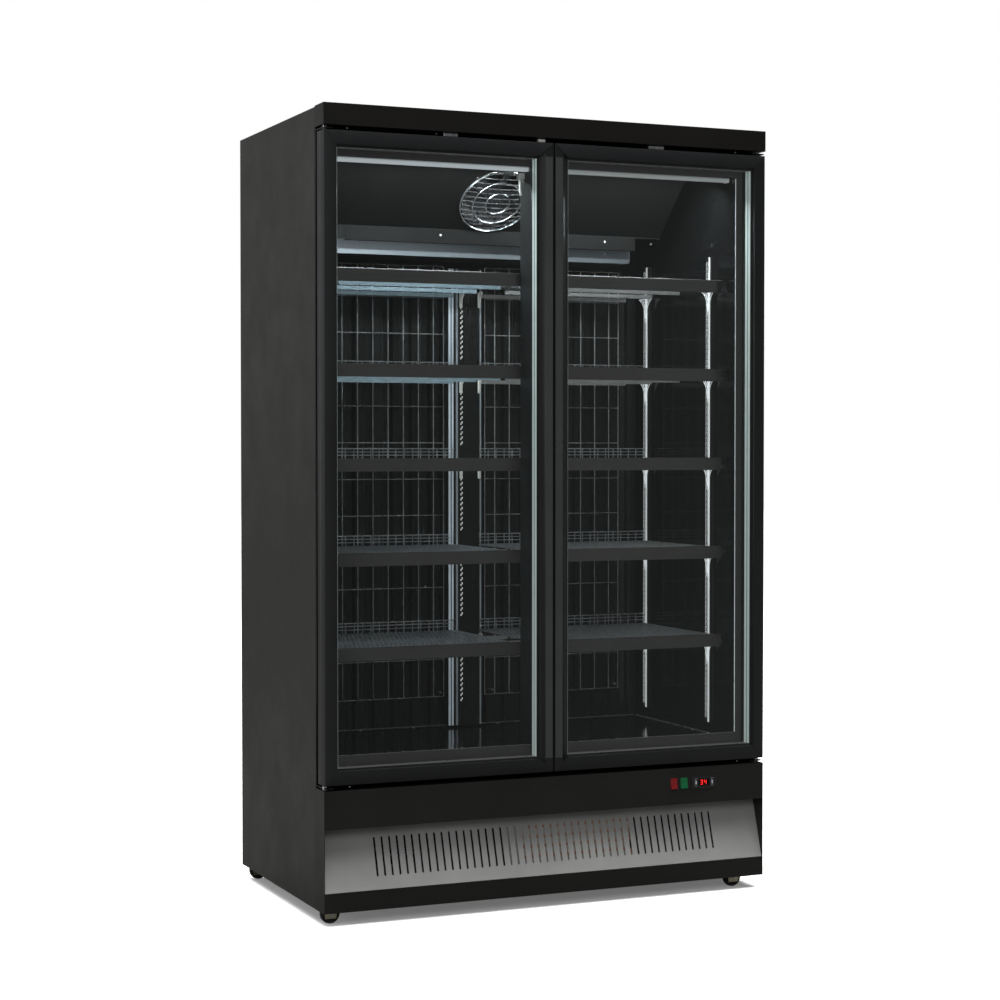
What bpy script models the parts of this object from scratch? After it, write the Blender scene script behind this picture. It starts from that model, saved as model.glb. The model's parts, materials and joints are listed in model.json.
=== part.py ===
"""Upright two-door glass merchandiser refrigerator, modelled as an assembly of separate pieces.

Units are metres, +Z is up, the doors face -Y, and the origin is on the floor under the middle of
the cabinet. Run with: blender --background --python part.py
"""
import math

import bmesh
import bpy
from mathutils import Matrix, Vector

# ---------------------------------------------------------------- driving dimensions
WIDTH = 1.250
DEPTH = 0.710
HEIGHT = 2.038

FRONT = -DEPTH / 2
REAR = DEPTH / 2
HALF = WIDTH / 2
GAP = 0.0003                       # clearance between pieces that touch
SHEET = 0.0012                     # painted steel sheet
FACE = FRONT + 0.069               # front face of the insulated cabinet
LOWER_FRONT = FRONT + 0.004        # control panel and kick plate sit just behind the doors

SKIRT_BOTTOM = 0.033
KICK_TOP = 0.082
GRILLE_TOP = 0.241
PANEL_TOP = 0.3385
CABINET_BOTTOM = 0.3395
CABINET_TOP = 2.030
SIDE_TOP = 2.035
HEADER_BOTTOM = 1.984

DOOR_BOTTOM = 0.3515
DOOR_TOP = 1.972
DOOR_THICKNESS = 0.055
DOOR_INNER_EDGE = 0.0015
DOOR_OUTER_EDGE = 0.6235
CENTRE_STILE = 0.040               # from the middle of the cabinet to the glass
OUTER_STILE = 0.033
DOOR_RAIL = 0.036
GLASS_RECESS = 0.008
REBATE = 0.008
PANE = 0.004
HINGE_X = 0.612
HINGE_Y = FRONT + 0.025
PIN_RADIUS = 0.004
PIN_CLEARANCE = 0.0005

CAVITY_X = 0.576
CAVITY_FLOOR = 0.395
CAVITY_CEILING = 1.935
CAVITY_REAR = 0.310
THROAT_X = 0.572
THROAT_BOTTOM = 0.416
THROAT_TOP = 1.917
THROAT_DEPTH = 0.020
CORNER_CHAMFER = 0.0015
MULLION_X = 0.033
MULLION_DEPTH = 0.075
LIGHT_BOTTOM = 1.909

LOWEST_SHELF = 0.6785
SHELF_PITCH = 0.242
SHELF_TOPS = [LOWEST_SHELF + SHELF_PITCH * step for step in range(5)]
SHELF_RAIL = 0.034
SHELF_FRONT = -0.225
SHELF_REAR = 0.235
SHELF_INNER = 0.037
SHELF_OUTER = 0.565
SHELF_BARS = (-0.105, 0.060, 0.225)
SHELF_BAR_DROP = 0.0355
SHELF_BAR_WIDTH = 0.002
COLUMN_X = 0.050
UPRIGHT_Y = {"front": -0.150, "rear": 0.225}

COVER_TOP = (-0.122, 1.931)        # Y and Z of the upper edge of the sloped evaporator cover
COVER_KNEE = (0.032, 1.782)
COVER_BAND = 1.7435
COVER_X = 0.508
EVAPORATOR_FAN = (-0.030, (COVER_TOP[0] + COVER_KNEE[0]) / 2, (COVER_TOP[1] + COVER_KNEE[1]) / 2)

WHEEL_RADIUS = 0.025
WHEEL_WIDTH = 0.018
CASTER_TRAIL = 0.020
CASTER_X = 0.575
CASTER_INSET = 0.052
BASE_FLOOR = 0.070

SWITCH_Z = 0.297
RED_SWITCH_X = 0.353
GREEN_SWITCH_X = 0.383
CONTROLLER_X = 0.442
ROCKER_TILT = math.radians(7.0)
CONDENSER_FAN = (0.100, -0.190, 0.185)

# ---------------------------------------------------------------- scene and collections
for existing in list(bpy.data.objects):
    bpy.data.objects.remove(existing, do_unlink=True)

PARTS = bpy.data.collections.new("glass_door_merchandiser")
CUTTERS = bpy.data.collections.new("cutters")
bpy.context.scene.collection.children.link(PARTS)
bpy.context.scene.collection.children.link(CUTTERS)


# ---------------------------------------------------------------- materials
def make_material(name, colour, roughness, metallic=0.0, transmission=0.0, emission=0.0):
    material = bpy.data.materials.new(name)
    material.use_nodes = True
    shader = material.node_tree.nodes["Principled BSDF"]
    shader.inputs["Base Color"].default_value = (*colour, 1.0)
    shader.inputs["Roughness"].default_value = roughness
    shader.inputs["Metallic"].default_value = metallic
    shader.inputs["Transmission Weight"].default_value = transmission
    shader.inputs["Emission Color"].default_value = (*colour, 1.0)
    shader.inputs["Emission Strength"].default_value = emission
    return material


PAINT = make_material("black_painted_steel", (0.036, 0.034, 0.031), 0.42)
TRIM = make_material("black_door_profile", (0.020, 0.020, 0.021), 0.32)
LINER = make_material("black_gloss_liner", (0.010, 0.010, 0.011), 0.10)
GRILLE_PAINT = make_material("grey_painted_grille", (0.155, 0.155, 0.150), 0.45)
SHELF_COAT = make_material("dark_coated_shelf", (0.030, 0.028, 0.026), 0.45)
STEEL = make_material("galvanised_steel", (0.560, 0.570, 0.570), 0.34, 1.0)
ZINC = make_material("yellow_zinc_plate", (0.620, 0.560, 0.360), 0.36, 1.0)
ALUMINIUM = make_material("aluminium_spacer", (0.720, 0.740, 0.740), 0.28, 1.0)
GLASS = make_material("clear_glass", (0.940, 0.960, 0.955), 0.02, 0.0, 1.0)
RUBBER = make_material("black_rubber", (0.012, 0.012, 0.012), 0.70)
BLACK_PLASTIC = make_material("black_plastic", (0.015, 0.015, 0.016), 0.40)
RED_LENS = make_material("red_switch_lens", (0.450, 0.012, 0.010), 0.25)
GREEN_LENS = make_material("green_switch_lens", (0.010, 0.240, 0.060), 0.25)
KEY_GREY = make_material("grey_key", (0.110, 0.115, 0.120), 0.45)
LED_DIFFUSER = make_material("led_diffuser", (0.850, 0.900, 0.960), 0.50, 0.0, 0.0, 2.0)
COMPRESSOR_PAINT = make_material("black_compressor_enamel", (0.014, 0.014, 0.014), 0.30)
COIL_METAL = make_material("coil_aluminium_and_copper", (0.480, 0.400, 0.320), 0.45, 0.8)


# ---------------------------------------------------------------- modelling helpers
def new_object(name, mesh, material=None):
    item = bpy.data.objects.new(name, mesh)
    PARTS.objects.link(item)
    if material is not None:
        mesh.materials.append(material)
    return item


def make_cutter(item):
    PARTS.objects.unlink(item)
    CUTTERS.objects.link(item)
    item.hide_render = True
    item.display_type = "WIRE"
    return item


def box(name, low, high, material=None):
    """A box between two corners, with its origin at its centre."""
    size = [abs(b - a) for a, b in zip(low, high)]
    centre = [(a + b) / 2 for a, b in zip(low, high)]
    shape = bmesh.new()
    bmesh.ops.create_cube(shape, size=1.0)
    bmesh.ops.scale(shape, vec=size, verts=shape.verts)
    mesh = bpy.data.meshes.new(name)
    shape.to_mesh(mesh)
    shape.free()
    item = new_object(name, mesh, material)
    item.location = centre
    return item


def mirrored(side, low_x, high_x):
    """The two X limits of a piece on one side of the cabinet, lowest first."""
    return sorted((side * low_x, side * high_x))


def side_box(name, side, xs, ys, zs, material=None):
    low_x, high_x = mirrored(side, *xs)
    return box(name, (low_x, ys[0], zs[0]), (high_x, ys[1], zs[1]), material)


def cylinder(name, centre, radius, length, axis="Z", sides=24, material=None):
    shape = bmesh.new()
    bmesh.ops.create_cone(shape, cap_ends=True, segments=sides, radius1=radius,
                          radius2=radius, depth=length)
    mesh = bpy.data.meshes.new(name)
    shape.to_mesh(mesh)
    shape.free()
    item = new_object(name, mesh, material)
    item.location = centre
    if axis == "X":
        item.rotation_euler = (0, math.pi / 2, 0)
    if axis == "Y":
        item.rotation_euler = (math.pi / 2, 0, 0)
    return item


AXIS_FRAMES = {
    "X": Matrix(((0, 0, 1), (1, 0, 0), (0, 1, 0))),
    "Y": Matrix(((1, 0, 0), (0, 0, -1), (0, 1, 0))),
    "Z": Matrix.Identity(3),
}


def plate(name, outlines, axis, start, end, material=None):
    """A flat outline (with any holes) extruded along an axis between two coordinates.

    Outline points are (Y, Z) for axis X, (X, Z) for axis Y and (X, Y) for axis Z.
    """
    curve = bpy.data.curves.new(name, "CURVE")
    curve.dimensions = "2D"
    curve.fill_mode = "BOTH"
    curve.extrude = abs(end - start) / 2
    for outline in outlines:
        spline = curve.splines.new("POLY")
        spline.points.add(len(outline) - 1)
        for point, (u, v) in zip(spline.points, outline):
            point.co = (u, v, 0.0, 1.0)
        spline.use_cyclic_u = True
    drawn = bpy.data.objects.new(name + "_outline", curve)
    bpy.context.scene.collection.objects.link(drawn)
    frame = AXIS_FRAMES[axis]
    middle = frame @ Vector((0, 0, 1))
    offset = (start + end) / 2
    if axis == "Y":
        offset = -offset
    drawn.matrix_world = Matrix.Translation(middle * offset) @ frame.to_4x4()
    bpy.context.view_layer.update()
    evaluated = drawn.evaluated_get(bpy.context.evaluated_depsgraph_get())
    mesh = bpy.data.meshes.new_from_object(evaluated)
    mesh.name = name
    shape = bmesh.new()
    shape.from_mesh(mesh)
    bmesh.ops.remove_doubles(shape, verts=shape.verts, dist=0.00001)
    bmesh.ops.recalc_face_normals(shape, faces=shape.faces)
    shape.to_mesh(mesh)
    shape.free()
    mesh.materials.clear()
    item = new_object(name, mesh, material)
    item.matrix_world = drawn.matrix_world.copy()
    bpy.data.objects.remove(drawn, do_unlink=True)
    return item


def rectangle(low_u, high_u, low_v, high_v):
    return [(low_u, low_v), (high_u, low_v), (high_u, high_v), (low_u, high_v)]


def ring_plate(name, outer, inner, axis, start, end, material=None):
    """A rectangular ring; outer and inner are (low_u, high_u, low_v, high_v)."""
    return plate(name, [rectangle(*outer), rectangle(*inner)], axis, start, end, material)


def folded_sheet(name, path, start, end, thickness, material):
    """A bent sheet: a path of (Y, Z) points drawn out along X and given a thickness."""
    shape = bmesh.new()
    first = [shape.verts.new((start, y, z)) for y, z in path]
    edges = [shape.edges.new(pair) for pair in zip(first, first[1:])]
    drawn = bmesh.ops.extrude_edge_only(shape, edges=edges)["geom"]
    moved = [element for element in drawn if isinstance(element, bmesh.types.BMVert)]
    bmesh.ops.translate(shape, vec=(end - start, 0, 0), verts=moved)
    mesh = bpy.data.meshes.new(name)
    shape.to_mesh(mesh)
    shape.free()
    item = new_object(name, mesh, material)
    solidify = item.modifiers.new("thickness", "SOLIDIFY")
    solidify.thickness = thickness
    solidify.offset = 0.0
    solidify.use_even_offset = True
    return item


def turned(name, profile, centre, sides, material):
    """A solid of revolution about Z. The profile is (radius, Z) points from the top down."""
    shape = bmesh.new()
    points = [shape.verts.new((radius, 0, z)) for radius, z in profile]
    for pair in zip(points, points[1:]):
        shape.edges.new(pair)
    mesh = bpy.data.meshes.new(name)
    shape.to_mesh(mesh)
    shape.free()
    item = new_object(name, mesh, material)
    item.location = centre
    screw = item.modifiers.new("turn", "SCREW")
    screw.steps = sides
    screw.render_steps = sides
    screw.use_merge_vertices = True
    screw.merge_threshold = 0.00005
    return item


def boolean(item, other, operation):
    modifier = item.modifiers.new(operation.lower(), "BOOLEAN")
    modifier.operation = operation
    modifier.object = make_cutter(other)
    return item


def cut(item, *others):
    for other in others:
        boolean(item, other, "DIFFERENCE")
    return item


def join(item, *others):
    for other in others:
        boolean(item, other, "UNION")
    return item


def bevel(item, width, segments=1):
    modifier = item.modifiers.new("bevel", "BEVEL")
    modifier.width = width
    modifier.segments = segments
    modifier.limit_method = "ANGLE"
    modifier.angle_limit = math.radians(35)
    return item


def repeat(item, count, step):
    modifier = item.modifiers.new("row", "ARRAY")
    modifier.count = count
    modifier.use_relative_offset = False
    modifier.use_constant_offset = True
    modifier.constant_offset_displace = step
    modifier.use_merge_vertices = False
    return item


def smooth(item, angle=35):
    item.data.shade_smooth()
    item.data.set_sharp_from_angle(angle=math.radians(angle))
    return item


def pivot(name, location):
    """An empty that marks a joint's axis; moving pieces are its children."""
    empty = bpy.data.objects.new(name, None)
    empty.location = location
    PARTS.objects.link(empty)
    return empty


def attach(empty, *items):
    for item in items:
        item.parent = empty
        item.matrix_parent_inverse = Matrix.Translation(-Vector(empty.location))


# ---------------------------------------------------------------- cabinet and fixed panels
def build_side_panels():
    for side, word in ((-1, "left"), (1, "right")):
        panel = side_box("side_panel_" + word, side, (HALF - SHEET, HALF), (FACE, REAR),
                         (SKIRT_BOTTOM, SIDE_TOP), PAINT)
        bevel(panel, 0.0004)


def build_insulated_cabinet():
    wall_x = HALF - SHEET - GAP
    cabinet = box("insulated_cabinet", (-wall_x, FACE, CABINET_BOTTOM), (wall_x, REAR, CABINET_TOP), LINER)
    cavity = box("cavity", (-CAVITY_X, FACE + THROAT_DEPTH, CAVITY_FLOOR),
                 (CAVITY_X, CAVITY_REAR, CAVITY_CEILING))
    throat = box("throat", (-THROAT_X, FACE - 0.010, THROAT_BOTTOM),
                 (THROAT_X, FACE + THROAT_DEPTH + 0.010, THROAT_TOP))
    cut(cabinet, cavity, throat)
    bevel(cabinet, CORNER_CHAMFER)


def build_header():
    header = box("header_fascia", (-HALF, FRONT, HEADER_BOTTOM), (HALF, FACE - GAP, HEIGHT), PAINT)
    inside = box("header_inside", (-HALF + 0.0015, FRONT + 0.0015, HEADER_BOTTOM + 0.0015),
                 (HALF - 0.0015, FACE + 0.010, HEIGHT - 0.0015))
    cut(header, inside)
    bevel(header, 0.0012, 2)


def build_lower_front_frame():
    """The kick plate with a cheek at each end, which closes the sides of the grille bay."""
    frame = box("lower_front_frame", (-HALF + 0.001, LOWER_FRONT + 0.0004, SKIRT_BOTTOM + 0.0004),
                (HALF - 0.001, LOWER_FRONT + 0.0020, KICK_TOP - 0.0008), PAINT)
    cheeks = [side_box("cheek", side, (HALF - 0.0015, HALF), (LOWER_FRONT, FACE - GAP),
                       (SKIRT_BOTTOM, PANEL_TOP)) for side in (-1, 1)]
    top_fold = box("kick_fold", (-HALF + 0.0008, LOWER_FRONT + 0.0001, KICK_TOP - 0.0020),
                   (HALF - 0.0008, LOWER_FRONT + 0.030, KICK_TOP - GAP))
    join(frame, *cheeks, top_fold)


def rect_hole(name, centre_x, width, height):
    return box(name, (centre_x - width / 2, LOWER_FRONT - 0.010, SWITCH_Z - height / 2),
               (centre_x + width / 2, LOWER_FRONT + 0.010, SWITCH_Z + height / 2))


def build_control_panel():
    end_x = HALF - 0.0015 - GAP
    path = [(FACE - 0.002, PANEL_TOP - 0.0006), (LOWER_FRONT + 0.0006, PANEL_TOP - 0.0006),
            (LOWER_FRONT + 0.0006, GRILLE_TOP + 0.0009), (FRONT + 0.050, GRILLE_TOP + 0.0009)]
    panel = folded_sheet("control_panel", path, -end_x, end_x, SHEET, PAINT)
    cut(panel, rect_hole("red_hole", RED_SWITCH_X, 0.0205, 0.0315),
        rect_hole("green_hole", GREEN_SWITCH_X, 0.0225, 0.0315),
        rect_hole("controller_hole", CONTROLLER_X, 0.0710, 0.0290))


def build_condenser_grille():
    """A sloped steel sheet with a long row of vertical slots."""
    low = Vector((0, LOWER_FRONT + 0.0035, KICK_TOP + 0.001))
    high = Vector((0, FRONT + 0.058, GRILLE_TOP - 0.001))
    slope = math.atan2(high.y - low.y, high.z - low.z)
    length = (high - low).length
    end_x = HALF - 0.0015 - 0.001
    grille = box("condenser_grille", (-end_x, -0.00075, -length / 2), (end_x, 0.00075, length / 2),
                 GRILLE_PAINT)
    slot_count = 48
    slot_pitch = 0.0204
    first_x = -slot_pitch * (slot_count - 1) / 2
    half_slot = 0.0026
    half_height = 0.050
    outline = [(-half_slot, -half_height + 0.002), (0.0, -half_height), (half_slot, -half_height + 0.002),
               (half_slot, half_height - 0.002), (0.0, half_height), (-half_slot, half_height - 0.002)]
    slot = plate("slot", [outline], "Y", -0.010, 0.010)
    repeat(slot, slot_count, (slot_pitch, 0, 0))
    slot.parent = grille
    slot.matrix_parent_inverse = Matrix.Identity(4)
    slot.location = (first_x, 0, 0)
    cut(grille, slot)
    grille.location = (low + high) / 2
    grille.rotation_euler = (-slope, 0, 0)


def build_base_frame():
    """The chassis tray that carries the cabinet on four posts and holds the caster plates."""
    end_x = HALF - 0.0045
    front_y = FACE - 0.014
    rear_y = REAR - 0.004
    wall_top = BASE_FLOOR + 0.030
    tray = box("base_frame", (-end_x, front_y, BASE_FLOOR), (end_x, rear_y, wall_top), PAINT)
    inside = box("tray_inside", (-end_x + 0.002, front_y + 0.002, BASE_FLOOR + 0.002),
                 (end_x - 0.002, rear_y - 0.002, wall_top + 0.010))
    cut(tray, inside)
    post = 0.035
    for side in (-1, 1):
        for y in (FACE + 0.002, rear_y - post):
            column = side_box("post", side, (end_x - post, end_x), (y, y + post),
                              (BASE_FLOOR, CABINET_BOTTOM - GAP))
            join(tray, column)
        for y in (FRONT + CASTER_INSET, REAR - CASTER_INSET):
            mount = side_box("caster_plate", side, (CASTER_X - 0.030, CASTER_X + 0.036),
                             (y - 0.032, y + 0.032), (BASE_FLOOR - 0.004, BASE_FLOOR + 0.001))
            join(tray, mount)
    front_bar = box("front_bar", (-end_x, FRONT + 0.018, BASE_FLOOR),
                    (end_x, front_y + 0.001, BASE_FLOOR + 0.004))
    join(tray, front_bar)


def build_rear_grille():
    panel = box("rear_grille", (-0.6155, REAR - 0.0032, 0.076), (0.6155, REAR - 0.002, 0.336), PAINT)
    slot = box("rear_slot", (-0.506, REAR - 0.020, 0.120), (-0.494, REAR + 0.020, 0.290))
    repeat(slot, 17, (0.0625, 0, 0))
    cut(panel, slot)


def build_mullion():
    mullion = box("centre_mullion", (-MULLION_X, FACE, THROAT_BOTTOM + GAP),
                  (MULLION_X, FACE + MULLION_DEPTH, THROAT_TOP - GAP), TRIM)
    light_notch = box("light_notch", (-HALF, FACE + THROAT_DEPTH, LIGHT_BOTTOM - GAP),
                      (HALF, 0.0, CABINET_TOP))
    cut(mullion, light_notch)
    bevel(mullion, 0.003, 2)


# ---------------------------------------------------------------- inside the cabinet
def build_rear_duct():
    """A ribbed air-duct panel with a square column down its middle."""
    half_x = 0.568
    ribs = 20
    pitch = 2 * half_x / ribs
    near = 0.2870
    far = 0.2985
    thickness = 0.0015
    front_line = []
    for rib in range(ribs):
        left = -half_x + rib * pitch
        front_line += [(left, far), (left + pitch * 0.35, far), (left + pitch * 0.45, near),
                       (left + pitch * 0.90, near)]
    front_line.append((half_x, far))
    rear_line = [(x, y + thickness) for x, y in reversed(front_line)]
    panel = plate("rear_duct_panel", [front_line + rear_line], "Z", 0.400, 1.695, LINER)
    column = plate("duct_column", [rectangle(-COLUMN_X, COLUMN_X, 0.247, 0.2995)], "Z", 0.401, 1.694)
    join(panel, column)


def build_uprights():
    for side, word in ((-1, "left"), (1, "right")):
        for place, y in UPRIGHT_Y.items():
            wall = side * (CAVITY_X - GAP)
            lip = side * (CAVITY_X - 0.0103)
            web = side * (CAVITY_X - 0.0020)
            outline = [(wall, y - 0.015), (lip, y - 0.015), (lip, y - 0.0125), (web, y - 0.0125),
                       (web, y + 0.0125), (lip, y + 0.0125), (lip, y + 0.015), (wall, y + 0.015)]
            plate("upright_{}_{}".format(word, place), [outline], "Z", 0.428, 1.715, STEEL)


def build_shelf(side, word, level, top):
    """A slotted deck behind a price rail, stiffened by three cross bars."""
    deck_top = top - 0.008
    deck_bottom = deck_top - 0.003
    rail_bottom = top - SHELF_RAIL
    shelf = side_box("shelf_{}_{}".format(word, level), side, (SHELF_INNER, SHELF_OUTER),
                     (SHELF_FRONT, SHELF_REAR), (deck_bottom, deck_top), SHELF_COAT)
    slot_count = 7
    slot_pitch = 0.073
    first = SHELF_INNER + 0.0240
    slots = side_box("deck_slot", side, (first, first + 0.042), (SHELF_FRONT + 0.030, SHELF_REAR - 0.016),
                     (deck_bottom - 0.020, deck_top + 0.020))
    repeat(slots, slot_count, (side * slot_pitch, 0, 0))
    cut(shelf, slots)
    rail = side_box("rail", side, (SHELF_INNER, SHELF_OUTER), (SHELF_FRONT, SHELF_FRONT + 0.010),
                    (rail_bottom, top))
    bars = [side_box("bar", side, (SHELF_INNER + 0.006, SHELF_OUTER - 0.065),
                     (y - SHELF_BAR_WIDTH / 2, y + SHELF_BAR_WIDTH / 2),
                     (top - SHELF_BAR_DROP, deck_bottom + 0.001)) for y in SHELF_BARS]
    join(shelf, rail, *bars)


def build_shelves():
    for side, word in ((-1, "left"), (1, "right")):
        for level, top in enumerate(SHELF_TOPS, start=1):
            build_shelf(side, word, level, top)


def slope_rotation():
    """The X rotation that turns +Z to the outward normal of the sloped evaporator cover."""
    along = Vector((COVER_KNEE[0] - COVER_TOP[0], COVER_KNEE[1] - COVER_TOP[1])).normalized()
    return math.atan2(-along.y, -along.x)


def on_slope(out):
    """A point on the evaporator fan's axis, a distance out from the cover."""
    normal = Matrix.Rotation(slope_rotation(), 3, "X") @ Vector((0, 0, 1))
    return Vector(EVAPORATOR_FAN) + normal * out


def slope_cylinder(name, out, radius, length, sides, material=None):
    item = cylinder(name, on_slope(out), radius, length, sides=sides, material=material)
    item.rotation_euler = (slope_rotation(), 0, 0)
    return item


def build_evaporator():
    path = [(COVER_TOP[0] - 0.016, COVER_TOP[1]), COVER_TOP, COVER_KNEE, (COVER_KNEE[0], COVER_BAND),
            (COVER_KNEE[0] + 0.018, COVER_BAND)]
    cover = folded_sheet("evaporator_cover", path, -COVER_X, COVER_X, 0.0015, PAINT)
    for side in (-1, 1):
        cut(cover, side_box("band_end", side, (0.430, 0.560), (0.000, 0.080),
                            (COVER_BAND - 0.030, COVER_KNEE[1] - 0.004)))
    cut(cover, slope_cylinder("fan_hole", 0.0, 0.0960, 0.060, 32))

    coil = box("evaporator_coil", (-0.400, 0.095, 1.772), (0.400, 0.255, 1.905), COIL_METAL)
    fins = box("coil_groove", (-0.385, 0.080, 1.800), (-0.377, 0.270, 1.935))
    repeat(fins, 16, (0.051, 0, 0))
    cut(coil, fins)

    tray = box("drip_tray", (-0.430, 0.065, 1.709), (0.430, 0.270, 1.748), PAINT)
    inside = box("drip_inside", (-0.4285, 0.0665, 1.7105), (0.4285, 0.2685, 1.760))
    cut(tray, inside)
    bevel(tray, 0.0006)


def build_evaporator_fan():
    guard = slope_cylinder("evaporator_fan_guard", 0.0035, 0.1040, 0.005, 32, STEEL)
    cut(guard, slope_cylinder("guard_hole", 0.0035, 0.0960, 0.030, 32))
    frame = Matrix.Rotation(slope_rotation(), 4, "X")
    for row in range(-3, 4):
        offset = row * 0.026
        reach = math.sqrt(0.1000 ** 2 - offset ** 2)
        bar = cylinder("guard_bar", (0, 0, 0), 0.0014, 2 * reach, "X", 6)
        bar.matrix_world = (Matrix.Translation(on_slope(0.0035)) @ frame
                            @ Matrix.Translation((0, offset, 0)) @ Matrix.Rotation(math.pi / 2, 4, "Y"))
        join(guard, bar)
    spine = cylinder("guard_spine", (0, 0, 0), 0.0014, 0.200, "X", 6)
    spine.matrix_world = (Matrix.Translation(on_slope(0.0035)) @ frame
                          @ Matrix.Rotation(math.pi / 2, 4, "X"))
    join(guard, spine)

    motor = slope_cylinder("evaporator_fan_motor", -0.057, 0.028, 0.034, 24, BLACK_PLASTIC)
    arm = box("motor_arm", (-0.125, -0.006, -0.003), (0.125, 0.006, 0.003))
    arm.matrix_world = Matrix.Translation(on_slope(-0.061)) @ frame
    join(motor, arm)
    for end in (-1, 1):
        foot = side_box("motor_foot", end, (0.119, 0.125), (-0.006, 0.006), (-0.003, 0.057))
        foot.matrix_world = (Matrix.Translation(on_slope(-0.061)) @ frame
                             @ Matrix.Translation((end * 0.122, 0, 0.0285)))
        join(motor, foot)

    hub = slope_cylinder("evaporator_fan_blades", -0.0230, 0.024, 0.026, 24, BLACK_PLASTIC)
    for blade in range(5):
        wing = fan_blade(0.020, 0.076, 0.038, 0.0022, math.radians(28))
        wing.matrix_world = (Matrix.Translation(on_slope(-0.0230)) @ frame
                             @ Matrix.Rotation(blade * math.tau / 5, 4, "Z"))
        join(hub, wing)
    attach(pivot("evaporator_fan_axis", EVAPORATOR_FAN), hub)


def fan_blade(root, tip, chord, thickness, pitch):
    """A flat pitched blade that reaches out along local X from a hub on local Z."""
    shape = bmesh.new()
    bmesh.ops.create_cube(shape, size=1.0)
    bmesh.ops.scale(shape, vec=(tip - root, chord, thickness), verts=shape.verts)
    bmesh.ops.rotate(shape, cent=(0, 0, 0), matrix=Matrix.Rotation(pitch, 3, "X"), verts=shape.verts)
    bmesh.ops.translate(shape, vec=((tip + root) / 2, 0, 0), verts=shape.verts)
    mesh = bpy.data.meshes.new("blade")
    shape.to_mesh(mesh)
    shape.free()
    return new_object("blade", mesh)


def build_light_bar():
    rear = FACE + THROAT_DEPTH + CORNER_CHAMFER + GAP
    shoulder = LIGHT_BOTTOM + 0.004
    top = CAVITY_CEILING - 0.0005
    outline = [(rear, top), (rear, shoulder), (rear + 0.004, LIGHT_BOTTOM), (rear + 0.017, LIGHT_BOTTOM),
               (rear + 0.021, shoulder), (rear + 0.021, top)]
    plate("led_light_bar", [outline], "X", -0.565, 0.565, LED_DIFFUSER)


# ---------------------------------------------------------------- doors and hinges
def build_door(side, word):
    frame_rear = FRONT + DOOR_THICKNESS
    glass_low = DOOR_BOTTOM + DOOR_RAIL
    glass_high = DOOR_TOP - DOOR_RAIL
    glass_outer = DOOR_OUTER_EDGE - OUTER_STILE
    frame = side_box(word + "_door_frame", side, (DOOR_INNER_EDGE, DOOR_OUTER_EDGE),
                     (FRONT, frame_rear), (DOOR_BOTTOM, DOOR_TOP), TRIM)
    opening = side_box("opening", side, (CENTRE_STILE, glass_outer), (FRONT - 0.010, frame_rear + 0.010),
                       (glass_low, glass_high))
    rebate = side_box("rebate", side, (CENTRE_STILE - REBATE, glass_outer + REBATE),
                      (FRONT + GLASS_RECESS, frame_rear + 0.010), (glass_low - REBATE, glass_high + REBATE))
    grip_outline = [(side * (CENTRE_STILE - 0.015), FRONT - 0.0005),
                    (side * (CENTRE_STILE + 0.001), FRONT - 0.0005),
                    (side * (CENTRE_STILE + 0.001), FRONT + 0.0062)]
    grip = plate("grip", [grip_outline], "Z", glass_low, glass_high)
    pin_holes = [cylinder("pin_hole", (side * HINGE_X, HINGE_Y, z), PIN_RADIUS + PIN_CLEARANCE, 0.036,
                          sides=16) for z in (DOOR_BOTTOM, DOOR_TOP)]
    cut(frame, opening, rebate, grip, *pin_holes)
    bevel(frame, 0.0009)

    glass_x = (CENTRE_STILE - REBATE + GAP, glass_outer + REBATE - GAP)
    glass_z = (glass_low - REBATE + GAP, glass_high + REBATE - GAP)
    outer_y = FRONT + GLASS_RECESS + GAP
    spacer_depth = 0.0274
    inner_y = outer_y + PANE + spacer_depth + 2 * GAP
    outer = side_box(word + "_door_outer_pane", side, glass_x, (outer_y, outer_y + PANE), glass_z, GLASS)
    inner = side_box(word + "_door_inner_pane", side, glass_x, (inner_y, inner_y + PANE), glass_z, GLASS)
    inset = 0.002
    bar = 0.010
    spacer_x = mirrored(side, glass_x[0] + inset, glass_x[1] - inset)
    spacer_z = (glass_z[0] + inset, glass_z[1] - inset)
    spacer = ring_plate(word + "_door_spacer", (*spacer_x, *spacer_z),
                        (spacer_x[0] + bar, spacer_x[1] - bar, spacer_z[0] + bar, spacer_z[1] - bar),
                        "Y", outer_y + PANE + GAP, inner_y - GAP, ALUMINIUM)
    seal = 0.018
    seal_x = mirrored(side, 0.004, HINGE_X - 0.001)
    seal_z = (DOOR_BOTTOM + 0.014, DOOR_TOP - 0.014)
    gasket = ring_plate(word + "_door_gasket", (*seal_x, *seal_z),
                        (seal_x[0] + seal, seal_x[1] - seal, seal_z[0] + seal, seal_z[1] - seal),
                        "Y", frame_rear + GAP, FACE - GAP, RUBBER)
    hinge = pivot(word + "_door_hinge_axis", (side * HINGE_X, HINGE_Y, 0.0))
    attach(hinge, frame, outer, inner, spacer, gasket)


def build_hinge_rail(name, low, high, pin_low, pin_high, washer=None):
    """A flat bar across the cabinet whose forward ends carry the door pins."""
    rail = box(name, (-HALF + 0.002, FACE - 0.013, low), (HALF - 0.002, FACE - GAP, high), STEEL)
    for side in (-1, 1):
        arm = side_box("hinge_arm", side, (HINGE_X - 0.014, HALF - 0.002), (FRONT + 0.006, FACE - 0.012),
                       (low, high))
        pin = cylinder("hinge_pin", (side * HINGE_X, HINGE_Y, (pin_low + pin_high) / 2), PIN_RADIUS,
                       pin_high - pin_low, sides=16)
        join(rail, arm, pin)
        if washer is not None:
            collar = cylinder("collar", (side * HINGE_X, HINGE_Y, (washer[0] + washer[1]) / 2), 0.008,
                              washer[1] - washer[0], sides=20)
            join(rail, collar)


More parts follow.
